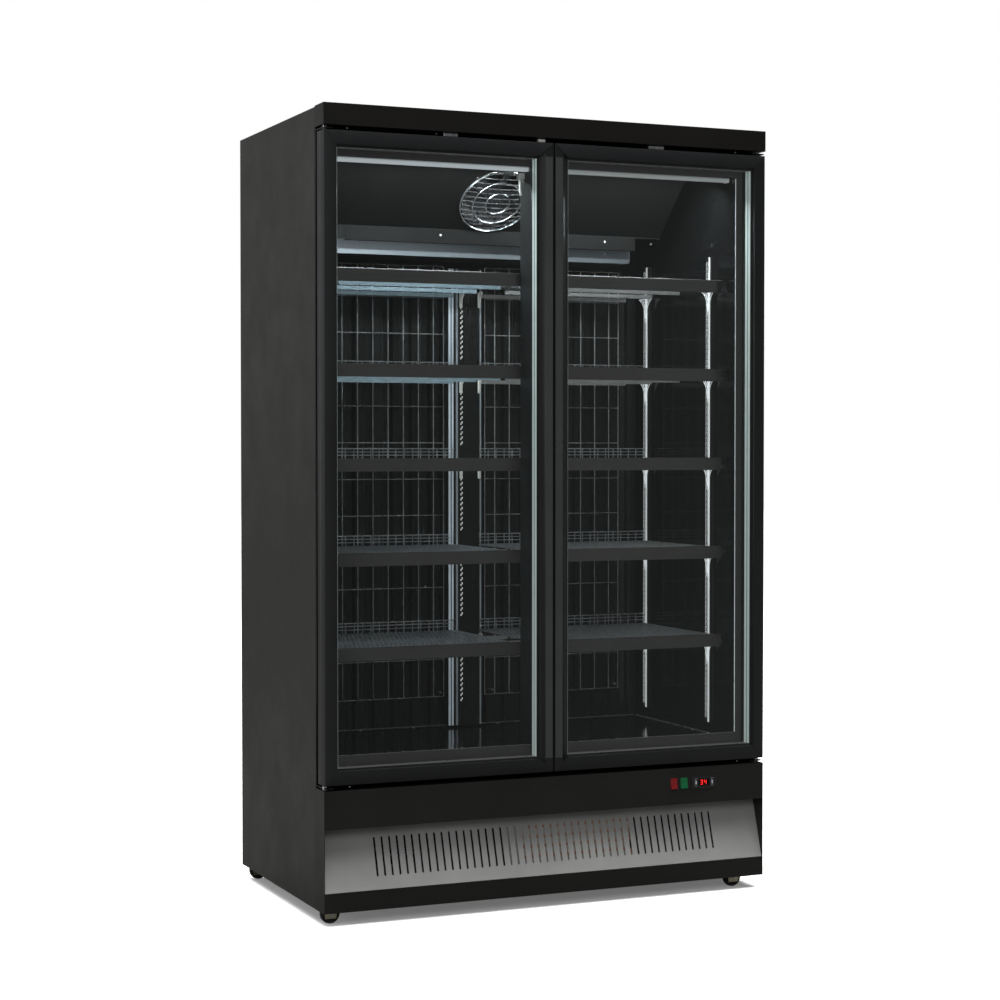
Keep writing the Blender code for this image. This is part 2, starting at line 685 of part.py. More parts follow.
def build_hinges():
    build_hinge_rail("hinge_rail_top", 1.9755, 1.9785, 1.9570, 1.9780)
    build_hinge_rail("hinge_rail_bottom", 0.3430, 0.3460, 0.3435, 0.3665, washer=(0.3435, 0.3512))


# ---------------------------------------------------------------- controls
def build_controls():
    panel_rear = LOWER_FRONT + 0.0012
    bezel_front = FRONT + 0.0018
    controller = box("controller", (CONTROLLER_X - 0.0375, bezel_front, SWITCH_Z - 0.0165),
                     (CONTROLLER_X + 0.0375, LOWER_FRONT - GAP, SWITCH_Z + 0.0165), BLACK_PLASTIC)
    body = box("controller_body", (CONTROLLER_X - 0.035, bezel_front + 0.001, SWITCH_Z - 0.014),
               (CONTROLLER_X + 0.035, panel_rear + 0.050, SWITCH_Z + 0.014))
    join(controller, body)
    key_offset = 0.0245
    for direction, word in ((-1, "key_left"), (1, "key_right")):
        x = CONTROLLER_X + direction * key_offset
        pocket = box("key_pocket", (x - 0.0043, bezel_front - 0.005, SWITCH_Z - 0.0113),
                     (x + 0.0043, bezel_front + 0.0060, SWITCH_Z + 0.0113))
        cut(controller, pocket)
        key = box(word, (x - 0.0040, bezel_front - 0.0012, SWITCH_Z - 0.0110),
                  (x + 0.0040, bezel_front + 0.0035, SWITCH_Z + 0.0110), KEY_GREY)
        bevel(key, 0.0004)
        attach(pivot(word + "_axis", (x, bezel_front, SWITCH_Z)), key)
    for word, x, width, material in (("red_switch", RED_SWITCH_X, 0.0185, RED_LENS),
                                     ("green_switch", GREEN_SWITCH_X, 0.0205, GREEN_LENS)):
        build_rocker(word, x, width, material)


def build_rocker(name, x, width, material):
    """A rocker cap whose two halves meet at a shallow angle, tipped to its rest side."""
    half_height = 0.0145
    outline = [(0.0, half_height), (0.0, -half_height), (0.0060, -half_height + 0.003),
               (0.0105, 0.0), (0.0060, half_height - 0.003)]
    rocker = plate(name, [[(0.0006, 0.0)] + outline[1:] + outline[:1]], "X", -width / 2, width / 2, material)
    axis_y = LOWER_FRONT + 0.0040
    rocker.matrix_world = (Matrix.Translation((x, axis_y, SWITCH_Z)) @ Matrix.Rotation(-ROCKER_TILT, 4, "X")
                           @ Matrix.Translation((0, -0.0055, 0)) @ rocker.matrix_world)
    attach(pivot(name + "_axis", (x, axis_y, SWITCH_Z)), rocker)


# ---------------------------------------------------------------- machine compartment
def build_compressor():
    profile = [(0.0, 0.105), (0.040, 0.102), (0.070, 0.085), (0.083, 0.055), (0.086, 0.010), (0.086, -0.050),
               (0.080, -0.085), (0.055, -0.100), (0.0, -0.100)]
    shell = turned("compressor", profile, (-0.330, 0.080, 0.190), 28, COMPRESSOR_PAINT)
    foot = box("compressor_foot", (-0.430, 0.000, 0.0725), (-0.230, 0.160, 0.0945))
    join(shell, foot)
    smooth(shell)


def build_condenser():
    x, fan_y, z = CONDENSER_FAN
    block = box("condenser", (x - 0.160, -0.270, 0.0725), (x + 0.160, fan_y + 0.004, 0.296), COIL_METAL)
    plenum = box("plenum", (x - 0.155, -0.225, 0.078), (x + 0.155, fan_y, 0.291))
    ring = cylinder("shroud_hole", (x, fan_y, z), 0.0950, 0.050, "Y", 32)
    cut(block, plenum, ring)
    bracket = box("fan_bracket", (x - 0.015, fan_y - 0.001, 0.0725), (x + 0.015, -0.110, 0.0775))
    stand = box("fan_stand", (x - 0.015, -0.125, 0.0725), (x + 0.015, -0.110, z))
    motor = cylinder("fan_motor", (x, -0.135, z), 0.032, 0.052, "Y", 24)
    join(block, bracket, stand, motor)

    hub = cylinder("condenser_fan_blades", (x, fan_y, z), 0.028, 0.030, "Y", 24, BLACK_PLASTIC)
    for blade in range(5):
        wing = fan_blade(0.024, 0.090, 0.046, 0.0024, math.radians(26))
        wing.matrix_world = (Matrix.Translation((x, fan_y, z)) @ Matrix.Rotation(math.pi / 2, 4, "X")
                             @ Matrix.Rotation(blade * math.tau / 5, 4, "Z"))
        join(hub, wing)
    attach(pivot("condenser_fan_axis", CONDENSER_FAN), hub)


# ---------------------------------------------------------------- casters
def build_caster(word, x, y):
    """A swivel fork with its axle pin, and the wheel that turns on it."""
    wheel_x = x - CASTER_TRAIL
    half_gap = WHEEL_WIDTH / 2 + 0.001
    arm = 0.002
    fork = box("caster_fork_" + word, (wheel_x - 0.016, y - half_gap - arm, 0.0520),
               (x + 0.012, y + half_gap + arm, 0.0550), ZINC)
    arms = []
    for side in (-1, 1):
        inner = y + side * half_gap
        outer = y + side * (half_gap + arm)
        outline = [(wheel_x - 0.007, 0.0180), (wheel_x + 0.007, 0.0180), (x + 0.012, 0.0420),
                   (x + 0.012, 0.0535), (wheel_x - 0.016, 0.0535), (wheel_x - 0.011, 0.0280)]
        arms.append(plate("fork_arm", [outline], "Y", min(inner, outer), max(inner, outer)))
    head = cylinder("swivel_head", (x, y, 0.0600), 0.0150, 0.0114, sides=24)
    axle = cylinder("axle", (wheel_x, y, WHEEL_RADIUS), 0.0035, 2 * (half_gap + arm) + 0.002, "Y", 12)
    join(fork, *arms, head, axle)
    wheel = cylinder("caster_wheel_" + word, (wheel_x, y, WHEEL_RADIUS), WHEEL_RADIUS, WHEEL_WIDTH, "Y", 28,
                     RUBBER)
    bore = cylinder("bore", (wheel_x, y, WHEEL_RADIUS), 0.0040, 0.040, "Y", 12)
    cut(wheel, bore)
    bevel(wheel, 0.0015)
    swivel = pivot("caster_swivel_" + word, (x, y, 0.060))
    spin = pivot("caster_spin_" + word, (wheel_x, y, WHEEL_RADIUS))
    attach(swivel, fork)
    attach(spin, wheel)


def build_casters():
    for side, side_word in ((-1, "left"), (1, "right")):
        for y, end_word in ((FRONT + CASTER_INSET, "front"), (REAR - CASTER_INSET, "rear")):
            build_caster("{}_{}".format(end_word, side_word), side * CASTER_X, y)


build_side_panels()
build_insulated_cabinet()
build_header()
build_lower_front_frame()
build_control_panel()
build_condenser_grille()
build_base_frame()
build_rear_grille()
build_mullion()
build_rear_duct()
build_uprights()
build_shelves()
build_evaporator()
build_evaporator_fan()
build_light_bar()
build_door(-1, "left")
build_door(1, "right")
build_hinges()
build_controls()
build_compressor()
build_condenser()
build_casters()
bpy.context.view_layer.update()
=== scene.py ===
"""Looks of the upright two-door glass merchandiser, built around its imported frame.

Metres, +Z up, the doors face -Y, and the origin is on the floor under the middle of the cabinet.
"""

import json
import math

import bmesh
import bpy
from mathutils import Matrix, Vector


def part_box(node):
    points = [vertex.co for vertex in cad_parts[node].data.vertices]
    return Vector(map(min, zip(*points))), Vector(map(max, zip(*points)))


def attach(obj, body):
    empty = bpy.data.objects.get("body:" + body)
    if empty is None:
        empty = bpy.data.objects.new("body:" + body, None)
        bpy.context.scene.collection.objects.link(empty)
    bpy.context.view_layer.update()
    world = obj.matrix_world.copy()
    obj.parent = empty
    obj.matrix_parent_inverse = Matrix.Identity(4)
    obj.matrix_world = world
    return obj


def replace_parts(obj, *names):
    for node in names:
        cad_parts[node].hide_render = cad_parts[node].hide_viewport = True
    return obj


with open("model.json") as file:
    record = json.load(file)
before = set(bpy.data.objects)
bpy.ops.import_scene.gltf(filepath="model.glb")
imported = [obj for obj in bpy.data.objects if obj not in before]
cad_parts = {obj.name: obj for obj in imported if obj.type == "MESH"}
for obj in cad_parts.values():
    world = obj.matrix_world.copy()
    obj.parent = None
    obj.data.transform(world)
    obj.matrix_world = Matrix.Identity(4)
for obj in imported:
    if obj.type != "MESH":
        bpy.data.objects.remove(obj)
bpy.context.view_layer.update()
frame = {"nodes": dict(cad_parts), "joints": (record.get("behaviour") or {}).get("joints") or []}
nodes = frame["nodes"]

ROOT = "cabinet"
SIDES = ((-1, "left"), (1, "right"))


def joint(name):
    """A joint's centre and axis."""
    entry = next(item for item in frame["joints"] if item["name"] == name)
    return Vector(entry["pos_m"]), Vector(entry["axis"]).normalized()


def set_sockets(node, values):
    """Constant values for a node's inputs, by socket name."""
    for socket, value in values.items():
        node.inputs[socket].default_value = value


# ---------------------------------------------------------------- material nodes
COAT_ROUGHNESS = 0.1


class Surface:
    """A node material on one Principled shader, with object coordinates for its patterns."""

    def __init__(self, name, colour, roughness, metallic=0.0, specular=0.5, coat=0.0):
        self.material = bpy.data.materials.new(name)
        self.material.use_nodes = True
        self.tree = self.material.node_tree
        self.shader = self.tree.nodes["Principled BSDF"]
        self.colour = colour
        self.roughness = roughness
        set_sockets(self.shader, {"Base Color": (*colour, 1.0), "Roughness": roughness, "Metallic": metallic,
                                  "Specular IOR Level": specular, "Coat Weight": coat,
                                  "Coat Roughness": COAT_ROUGHNESS})
        self.coordinates = self.node("ShaderNodeTexCoord").outputs["Object"]
        self.normal = None

    def node(self, kind):
        return self.tree.nodes.new(kind)

    def link(self, output, target):
        self.tree.links.new(output, target)

    def stretched(self, scale):
        mapping = self.node("ShaderNodeMapping")
        mapping.inputs["Scale"].default_value = scale
        self.link(self.coordinates, mapping.inputs["Vector"])
        return mapping.outputs["Vector"]

    def noise(self, scale, detail=3.0, stretch=(1, 1, 1)):
        texture = self.node("ShaderNodeTexNoise")
        set_sockets(texture, {"Scale": scale, "Detail": detail})
        self.link(self.stretched(stretch), texture.inputs["Vector"])
        return texture.outputs["Fac"]

    def cells(self, scale):
        texture = self.node("ShaderNodeTexVoronoi")
        texture.inputs["Scale"].default_value = scale
        self.link(self.coordinates, texture.inputs["Vector"])
        return texture.outputs["Color"]

    def bands(self, scale):
        texture = self.node("ShaderNodeTexWave")
        texture.bands_direction = "Z"
        texture.inputs["Scale"].default_value = scale
        self.link(self.coordinates, texture.inputs["Vector"])
        return texture.outputs["Fac"]

    def along(self, axis, start, end):
        """0 at one place on an axis of the row frame and 1 at another."""
        parts = self.node("ShaderNodeSeparateXYZ")
        self.link(self.coordinates, parts.inputs["Vector"])
        return self.spread(parts.outputs[axis], 0.0, 1.0, start, end)

    def spread(self, factor, low, high, from_low=0.3, from_high=0.7):
        """A factor stretched from one range of values to another."""
        stretch = self.node("ShaderNodeMapRange")
        set_sockets(stretch, {"From Min": from_low, "From Max": from_high, "To Min": low, "To Max": high})
        self.link(factor, stretch.inputs["Value"])
        return stretch.outputs["Result"]

    def pattern(self, source):
        """A number stands for noise of that scale."""
        return self.noise(source) if isinstance(source, (int, float)) else source

    def vary_colour(self, source, dark, light, from_low=0.3, from_high=0.7):
        """The base colour runs between dark and light times itself."""
        factor = self.pattern(source)
        mix = self.node("ShaderNodeMix")
        mix.data_type = "RGBA"
        mix.inputs["A"].default_value = (*(part * dark for part in self.colour), 1.0)
        mix.inputs["B"].default_value = (*(min(1.0, part * light) for part in self.colour), 1.0)
        self.link(self.spread(factor, 0.0, 1.0, from_low, from_high), mix.inputs["Factor"])
        self.link(mix.outputs["Result"], self.shader.inputs["Base Color"])
        return self

    def vary_roughness(self, source, low, high):
        self.link(self.spread(self.pattern(source), low, high), self.shader.inputs["Roughness"])
        return self

    def bump(self, source, distance, strength=1.0):
        factor = self.pattern(source)
        bump = self.node("ShaderNodeBump")
        set_sockets(bump, {"Distance": distance, "Strength": strength})
        self.link(factor, bump.inputs["Height"])
        if self.normal is not None:
            self.link(self.normal, bump.inputs["Normal"])
        self.normal = bump.outputs["Normal"]
        self.link(self.normal, self.shader.inputs["Normal"])
        return self

    def glow(self, colour, strength):
        set_sockets(self.shader, {"Emission Color": (*colour, 1.0), "Emission Strength": strength})
        return self


def powder_coat(name, colour, roughness, specular, grain=1300):
    """Sheet steel under a powder coat: fine orange peel and slow changes of gloss."""
    coat = Surface(name, colour, roughness, specular=specular)
    coat.vary_colour(coat.noise(6.0), 0.9, 1.12)
    coat.vary_roughness(coat.noise(9.0, 4.0), roughness - 0.05, roughness + 0.07)
    coat.bump(coat.noise(grain, 2.0), 0.00006, 0.5)
    return coat


# Strength of the glass's faint glow, a painted sheen.
GLASS_PAINTED_GLOW = 0.1
GLASS_SHINE = 0.1
TRAY_SHADE = (-0.43, 0.02)


def clear_pane(name, tint, shine):
    """Flat glass: a tinted see-through sheet with a mirror shine that grows towards grazing angles, and a
    faint glow all over as a painted sheen.
    """
    pane = Surface(name, tint, 0.02)
    see_through = pane.node("ShaderNodeBsdfTransparent")
    see_through.inputs["Color"].default_value = (*tint, 1.0)
    gloss = pane.shader
    gloss.inputs["Base Color"].default_value = (0.0, 0.0, 0.0, 1.0)
    # Painted sheen: the glass glows faintly all over.
    pane.glow((0.95, 1.0, 0.98), GLASS_PAINTED_GLOW)
    pane.vary_roughness(pane.noise(3.0, 2.0), 0.012, 0.03)
    facing = pane.node("ShaderNodeLayerWeight")
    facing.inputs["Blend"].default_value = shine
    blend = pane.node("ShaderNodeMixShader")
    pane.link(facing.outputs["Facing"], blend.inputs["Fac"])
    pane.link(see_through.outputs["BSDF"], blend.inputs[1])
    pane.link(gloss.outputs["BSDF"], blend.inputs[2])
    pane.link(blend.outputs["Shader"], pane.tree.nodes["Material Output"].inputs["Surface"])
    return pane


PAINT = powder_coat("side_panel_paint", (0.015, 0.0145, 0.0125), 0.44, 0.42)
FRONT_PAINT = powder_coat("front_panel_paint", (0.0085, 0.008, 0.0068), 0.4, 0.28)
LOWER_PAINT = powder_coat("lower_panel_paint", (0.0125, 0.0122, 0.0108), 0.4, 0.32)
FOLD_PAINT = powder_coat("inner_panel_paint", (0.0024, 0.0023, 0.0022), 0.6, 0.12)
FLANGE = powder_coat("front_flange_paint", (0.03, 0.0285, 0.0275), 0.4, 0.4)
# Painted light: the flange paint glows faintly.
FLANGE.glow((0.9, 0.88, 0.86), 0.012)
SEALANT = powder_coat("spacer_sealant", (0.02, 0.0195, 0.019), 0.5, 0.3)
TRIM = powder_coat("door_profile_paint", (0.0095, 0.01, 0.0105), 0.34, 0.42)
GRIP = powder_coat("door_grip_paint", (0.04, 0.042, 0.042), 0.3, 0.5)
GRILLE = powder_coat("grille_paint", (0.27, 0.27, 0.264), 0.42, 0.4)
RAIL = powder_coat("shelf_rail_paint", (0.0185, 0.0175, 0.0165), 0.38, 0.4)

LINER = Surface("gloss_liner", (0.004, 0.0042, 0.0044), 0.14, specular=0.45)
LINER.bump(LINER.noise(7.0, 2.0), 0.0035, 0.35)
LINER.vary_roughness(LINER.noise(5.0, 3.0), 0.07, 0.14)
LINER.bump(LINER.noise(4.0, 1.0, (1, 1, 0.5)), 0.003, 0.5)

DUCT = Surface("duct_panel_enamel", (0.006, 0.0062, 0.0062), 0.28, specular=0.5)
DUCT.vary_roughness(DUCT.noise(14.0, 3.0, (1, 1, 0.1)), 0.2, 0.36)
DUCT.bump(DUCT.noise(7.0, 1.0, (1, 1, 0.4)), 0.0015, 0.4)

WIRE = Surface("plated_wire", (0.6, 0.6, 0.6), 0.36, metallic=0.9)
WIRE.vary_colour(60.0, 0.75, 1.15)
DECK = Surface("deck_wire", (0.46, 0.48, 0.5), 0.34, metallic=0.8)
DECK.vary_colour(80.0, 0.7, 1.2)
CHROME = Surface("polished_wire", (0.8, 0.81, 0.82), 0.14, metallic=1.0)
CHROME.vary_roughness(90.0, 0.08, 0.24)
STEEL = Surface("galvanised_steel", (0.72, 0.73, 0.74), 0.34, metallic=1.0)
STEEL.vary_colour(STEEL.cells(150.0), 0.82, 1.1)
STEEL.vary_roughness(40.0, 0.26, 0.42)
ZINC = Surface("zinc_plate", (0.66, 0.6, 0.44), 0.34, metallic=1.0)
ZINC.vary_colour(120.0, 0.8, 1.15)
ZINC.vary_roughness(60.0, 0.28, 0.45)
# Painted highlight: the spacer metal glows as if lit, on top of its banded colour.
ALUMINIUM = Surface("spacer_aluminium", (0.74, 0.84, 0.82), 0.34, metallic=0.5).glow((0.66, 0.8, 0.78), 0.26)
ALUMINIUM.vary_colour(ALUMINIUM.bands(300.0), 0.92, 1.06, 0.2, 0.8)
# Painted light: the copper tubes glow faintly.
COPPER = Surface("copper_tube", (0.72, 0.36, 0.22), 0.3, metallic=0.8).glow((0.7, 0.38, 0.26), 0.07)
COPPER.vary_roughness(50.0, 0.25, 0.4)
COPPER.vary_colour(50.0, 0.7, 1.1)
GUARD = Surface("guard_wire_plate", (0.36, 0.37, 0.38), 0.26, metallic=0.9)
GUARD.vary_roughness(50.0, 0.2, 0.34)
COLD_FINS = powder_coat("cold_coil_fins", (0.12, 0.12, 0.12), 0.5, 0.4)
# Painted light: the coil fins glow faintly.
FINS = Surface("coil_fins", (0.5, 0.5, 0.49), 0.42, metallic=0.7).glow((0.62, 0.58, 0.54), 0.1)
FINS.vary_colour(30.0, 0.7, 1.1)
RUBBER = Surface("soft_black_seal", (0.01, 0.01, 0.01), 0.7, specular=0.3)
RUBBER.vary_roughness(200.0, 0.6, 0.8)
RUBBER.bump(900.0, 0.00005)
TYRE = Surface("caster_rubber", (0.016, 0.016, 0.015), 0.62, specular=0.35)
TYRE.vary_colour(TYRE.noise(120.0, 5.0), 0.8, 1.7)
TYRE.bump(1400.0, 0.00008)
PLASTIC = Surface("moulded_black_plastic", (0.012, 0.012, 0.013), 0.38, specular=0.45)
PLASTIC.vary_roughness(300.0, 0.32, 0.46)
PLASTIC.bump(2200.0, 0.00003)
SMOKED = Surface("display_window", (0.01, 0.006, 0.006), 0.1, specular=0.5)
SMOKED.vary_roughness(80.0, 0.06, 0.16)
WHITE_PLASTIC = Surface("white_nylon", (0.78, 0.78, 0.75), 0.4, specular=0.5)
WHITE_PLASTIC.vary_colour(90.0, 0.88, 1.05)
RED = Surface("red_lens", (0.14, 0.008, 0.01), 0.24, coat=0.3).glow((0.55, 0.012, 0.02), 0.06)
RED.vary_colour(180.0, 0.8, 1.2)
GREEN = Surface("green_lens", (0.004, 0.075, 0.026), 0.24, coat=0.3).glow((0.005, 0.35, 0.1), 0.06)
GREEN.vary_colour(180.0, 0.8, 1.2)
KEY = Surface("grey_key", (0.06, 0.064, 0.068), 0.45)
KEY.vary_roughness(400.0, 0.4, 0.5)
# Painted highlight: the printed arrows glow faintly.
MARK = Surface("printed_white_mark", (0.75, 0.78, 0.8), 0.5).glow((0.75, 0.8, 0.85), 0.25)
MARK.vary_colour(500.0, 0.9, 1.05)
DIGIT = Surface("lit_red_segment", (0.7, 0.015, 0.015), 0.3).glow((1.0, 0.02, 0.02), 1.6)
DIGIT.vary_colour(500.0, 0.9, 1.05)
LED = Surface("frosted_diffuser", (0.5, 0.51, 0.52), 0.45).glow((0.9, 0.93, 0.96), 0.2)
LED.vary_roughness(60.0, 0.4, 0.55)
LED_BRIGHT = Surface("frosted_diffuser_lit", (0.6, 0.62, 0.64), 0.45).glow((0.86, 0.92, 1.0), 0.38)
LED_BRIGHT.vary_roughness(60.0, 0.4, 0.5)
ENAMEL = Surface("compressor_enamel", (0.012, 0.012, 0.012), 0.25, coat=0.3)
ENAMEL.vary_roughness(30.0, 0.2, 0.35)
ENAMEL.bump(160.0, 0.0001)
GLASS = clear_pane("clear_glass", (0.965, 0.975, 0.97), GLASS_SHINE)

# Lit and shaded copies of one bar coat: this one glows as a painted highlight, the shaded one below is darker
# as painted shade and glows faintly.
BAR = Surface("stiffener_bar_painted_highlight", (0.14, 0.19, 0.22), 0.4, metallic=0.3).glow((0.36, 0.52, 0.6), 0.12)
BAR.vary_colour(BAR.noise(160.0, stretch=(0.3, 1, 1)), 0.7, 1.2)
BAR.bump(500.0, 0.0002)
BAR_SHADED = Surface("stiffener_bar_shaded", (0.12, 0.12, 0.12), 0.4, metallic=0.3)
BAR_SHADED.glow((0.5, 0.5, 0.5), 0.06)
BAR_SHADED.vary_colour(BAR_SHADED.noise(160.0, stretch=(0.3, 1, 1)), 0.7, 1.2)
BAR_SHADED.bump(500.0, 0.0002)
CHANNEL = powder_coat("upright_channel_coat", (0.008, 0.008, 0.008), 0.4, 0.4)
# Painted sheen: the tray face glows and is lighter at its left end, fading to darker towards the middle
# across TRAY_SHADE.
TRAY = Surface("tray_painted_sheen", (0.16, 0.18, 0.2), 0.34, metallic=0.5).glow((0.55, 0.62, 0.68), 0.11)
TRAY.vary_colour(TRAY.along("X", *TRAY_SHADE), 1.0, 0.45, 0.0, 1.0)
TRAY_DIMMING = TRAY.spread(TRAY.along("X", *TRAY_SHADE), 0.11, 0.03, 0.0, 1.0)
TRAY.link(TRAY_DIMMING, TRAY.shader.inputs["Emission Strength"])
TRAY.vary_roughness(TRAY.noise(40.0, stretch=(0.1, 1, 1)), 0.28, 0.4)
# Lit and shaded copies of one strip steel: this one glows as a painted highlight, the shaded one is darker as
# painted shade and glows faintly.
STRIP = Surface("column_strip_steel", (0.55, 0.62, 0.68), 0.3, metallic=0.5).glow((0.55, 0.63, 0.72), 0.22)
STRIP.vary_colour(STRIP.noise(18.0, stretch=(1, 1, 0.25)), 0.7, 1.15)
STRIP_DIM = Surface("column_strip_shaded", (0.3, 0.33, 0.36), 0.34, metallic=0.5)
STRIP_DIM.glow((0.5, 0.55, 0.62), 0.05)
STRIP_DIM.vary_colour(STRIP_DIM.noise(18.0, stretch=(1, 1, 0.25)), 0.7, 1.15)
# Painted highlight: the slot rims glow.
SLOT = Surface("column_slot_rim_painted_highlight", (0.6, 0.62, 0.6), 0.36, metallic=0.4).glow((0.8, 0.82, 0.8), 0.55)
SLOT.vary_colour(60.0, 0.8, 1.1)
# Painted highlight: the upright lips and the wall hooks glow.
LIP_HIGHLIGHT = Surface("upright_lip_steel", (0.8, 0.82, 0.84), 0.26, metallic=0.4).glow((0.85, 0.88, 0.9), 0.5)
LIP_HIGHLIGHT.vary_colour(LIP_HIGHLIGHT.noise(14.0, stretch=(1, 1, 0.2)), 0.75, 1.1)
# Lit and shaded copies of one edge metal: this one glows as a painted highlight; the dim one below is darker
# as painted shade, with a faint painted glow.
EDGE = Surface("liner_edge_painted_highlight", (0.7, 0.72, 0.74), 0.3, metallic=0.5).glow((0.8, 0.85, 0.9), 0.45)
EDGE.vary_roughness(20.0, 0.24, 0.38)
EDGE_DIM = Surface("liner_edge_painted_shade", (0.16, 0.16, 0.16), 0.3, metallic=0.5).glow((0.7, 0.7, 0.7), 0.03)
EDGE_DIM.vary_roughness(20.0, 0.24, 0.38)
# Painted highlight: the side bead is much lighter than the panel paint to stand for light along the edge.
BEAD = powder_coat("edge_bead_painted_highlight", (0.06, 0.057, 0.052), 0.4, 0.5)
SILL = powder_coat("hinge_rail_paint", (0.006, 0.006, 0.006), 0.42, 0.3)

NODE_FINISH = {
    "side_panel_": PAINT, "header_fascia": FRONT_PAINT, "lower_front_frame": LOWER_PAINT,
    "control_panel": LOWER_PAINT, "base_frame": FRONT_PAINT, "rear_grille": PAINT,
    "evaporator_cover": FOLD_PAINT, "drip_tray": FOLD_PAINT, "insulated_cabinet": LINER,
    "rear_duct_panel": DUCT, "centre_mullion": TRIM, "condenser_grille": GRILLE, "shelf_": RAIL,
    "upright_": CHANNEL, "hinge_rail_": SILL, "evaporator_fan_guard": CHROME, "evaporator_fan_motor": PLASTIC,
    "evaporator_fan_blades": PLASTIC, "condenser_fan_blades": PLASTIC, "controller": PLASTIC,
    "red_switch": RED, "green_switch": GREEN, "key_": KEY, "led_light_bar": LED, "compressor": ENAMEL,
    "condenser": FINS, "evaporator_coil": COLD_FINS, "caster_fork_": ZINC, "caster_wheel_": TYRE,
    "_door_frame": TRIM, "_pane": GLASS, "_spacer": SEALANT, "_gasket": RUBBER,
}


def finish_nodes():
    """Every CAD node takes the finish of the longest pattern that its name holds."""
    for name, item in nodes.items():
        pattern = max((key for key in NODE_FINISH if key in name), key=len)
        item.data.materials.clear()
        item.data.materials.append(NODE_FINISH[pattern].material)


# ---------------------------------------------------------------- mesh building
class Shape:
    """Collects solids of one piece in one mesh."""

    def __init__(self):
        self.mesh = bmesh.new()

    def _take(self, other, matrix=None, bevel=0.0, segments=1):
        if matrix is not None:
            bmesh.ops.transform(other, matrix=matrix, verts=other.verts)
        if bevel > 0.0:
            bmesh.ops.bevel(other, geom=list(other.edges), offset=bevel, segments=segments, affect="EDGES",
                            clamp_overlap=True)
        data = bpy.data.meshes.new("part")
        other.to_mesh(data)
        other.free()
        self.mesh.from_mesh(data)
        bpy.data.meshes.remove(data)
        return self

    def box(self, low, high, bevel=0.0, segments=1):
        low, high = Vector(map(min, low, high)), Vector(map(max, low, high))
        solid = bmesh.new()
        bmesh.ops.create_cube(solid, size=1.0)
        bmesh.ops.scale(solid, vec=high - low, verts=solid.verts)
        bmesh.ops.translate(solid, vec=(low + high) / 2, verts=solid.verts)
        return self._take(solid, None, bevel, segments)

    def rod(self, start, end, radius, sides=6):
        start, end = Vector(start), Vector(end)
        solid = bmesh.new()
        bmesh.ops.create_cone(solid, cap_ends=True, segments=sides, radius1=radius, radius2=radius,
                              depth=(end - start).length)
        turn = (end - start).to_track_quat("Z", "Y").to_matrix().to_4x4()
        return self._take(solid, Matrix.Translation((start + end) / 2) @ turn)

    def prism(self, outline, axis, start, end, bevel=0.0):
        """A closed outline in the two other axes' plane, in X, Y, Z order, pushed along one axis."""
        solid = bmesh.new()
        place = "XYZ".index(axis)
        corners = [solid.verts.new(pair[:place] + (start,) + pair[place:]) for pair in outline]
        push = [0, 0, 0]
        push[place] = end - start
        face = solid.faces.new(corners)
        grown = bmesh.ops.extrude_face_region(solid, geom=[face])["geom"]
        moved = [item for item in grown if isinstance(item, bmesh.types.BMVert)]
        bmesh.ops.translate(solid, vec=push, verts=moved)
        bmesh.ops.recalc_face_normals(solid, faces=solid.faces)
        return self._take(solid, None, bevel)

    def wire(self, points, radius, sides=6, closed=False):
        """A bent wire through the points, mitred at each of them."""
        points = [Vector(p) for p in points]
        count = len(points)
        solid = bmesh.new()
        rings = []
        up = None
        for index, point in enumerate(points):
            before = points[index - 1] if closed or index > 0 else point
            after = points[(index + 1) % count] if closed or index < count - 1 else point
            way = (after - before).normalized()
            if up is None:
                up = way.orthogonal().normalized()
            up = (up - way * up.dot(way)).normalized()
            across = way.cross(up)
            rings.append([solid.verts.new(point + (up * math.cos(a) + across * math.sin(a)) * radius)
                          for a in (math.tau * k / sides for k in range(sides))])
        for index in range(count if closed else count - 1):
            near, far = rings[index], rings[(index + 1) % count]
            for k in range(sides):
                solid.faces.new((near[k], near[(k + 1) % sides], far[(k + 1) % sides], far[k]))
        if not closed:
            solid.faces.new(reversed(rings[0]))
            solid.faces.new(rings[-1])
        bmesh.ops.recalc_face_normals(solid, faces=solid.faces)
        return self._take(solid)

    def turned(self, profile, base, axis, sides=24):
        """A profile of (radius, height) pairs turned about an axis from the base point."""
        base, axis = Vector(base), Vector(axis).normalized()
        turn = axis.to_track_quat("Z", "Y").to_matrix().to_4x4()
        solid = bmesh.new()
        line = [solid.verts.new((radius, 0, height)) for radius, height in profile]
        edges = [solid.edges.new(pair) for pair in zip(line, line[1:])]
        bmesh.ops.spin(solid, geom=line + edges, angle=math.tau, steps=sides, axis=(0, 0, 1), cent=(0, 0, 0))
        bmesh.ops.remove_doubles(solid, verts=solid.verts, dist=0.000005)
        bmesh.ops.recalc_face_normals(solid, faces=solid.faces)
        return self._take(solid, Matrix.Translation(base) @ turn)

    def screw(self, point, axis, radius=0.0035):
        """A pan head with a round recess in its top."""
        height = radius * 0.55
        self.turned([(0.0, height * 0.55), (radius * 0.25, height * 0.55), (radius * 0.3, height),
                     (radius * 0.75, height * 0.8), (radius, 0.0), (0.0, -height * 0.2)], point, axis, 16)
        return self

    def piece(self, name, surface, slot, body=ROOT, angle=35):
        data = bpy.data.meshes.new(name)
        self.mesh.to_mesh(data)
        self.mesh.free()
        data.materials.append(surface.material)
        item = bpy.data.objects.new(name, data)
        bpy.context.scene.collection.objects.link(item)
        data.polygons.foreach_set("use_smooth", [True] * len(data.polygons))
        data.set_sharp_from_angle(angle=math.radians(angle))
        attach(item, body)
        return item


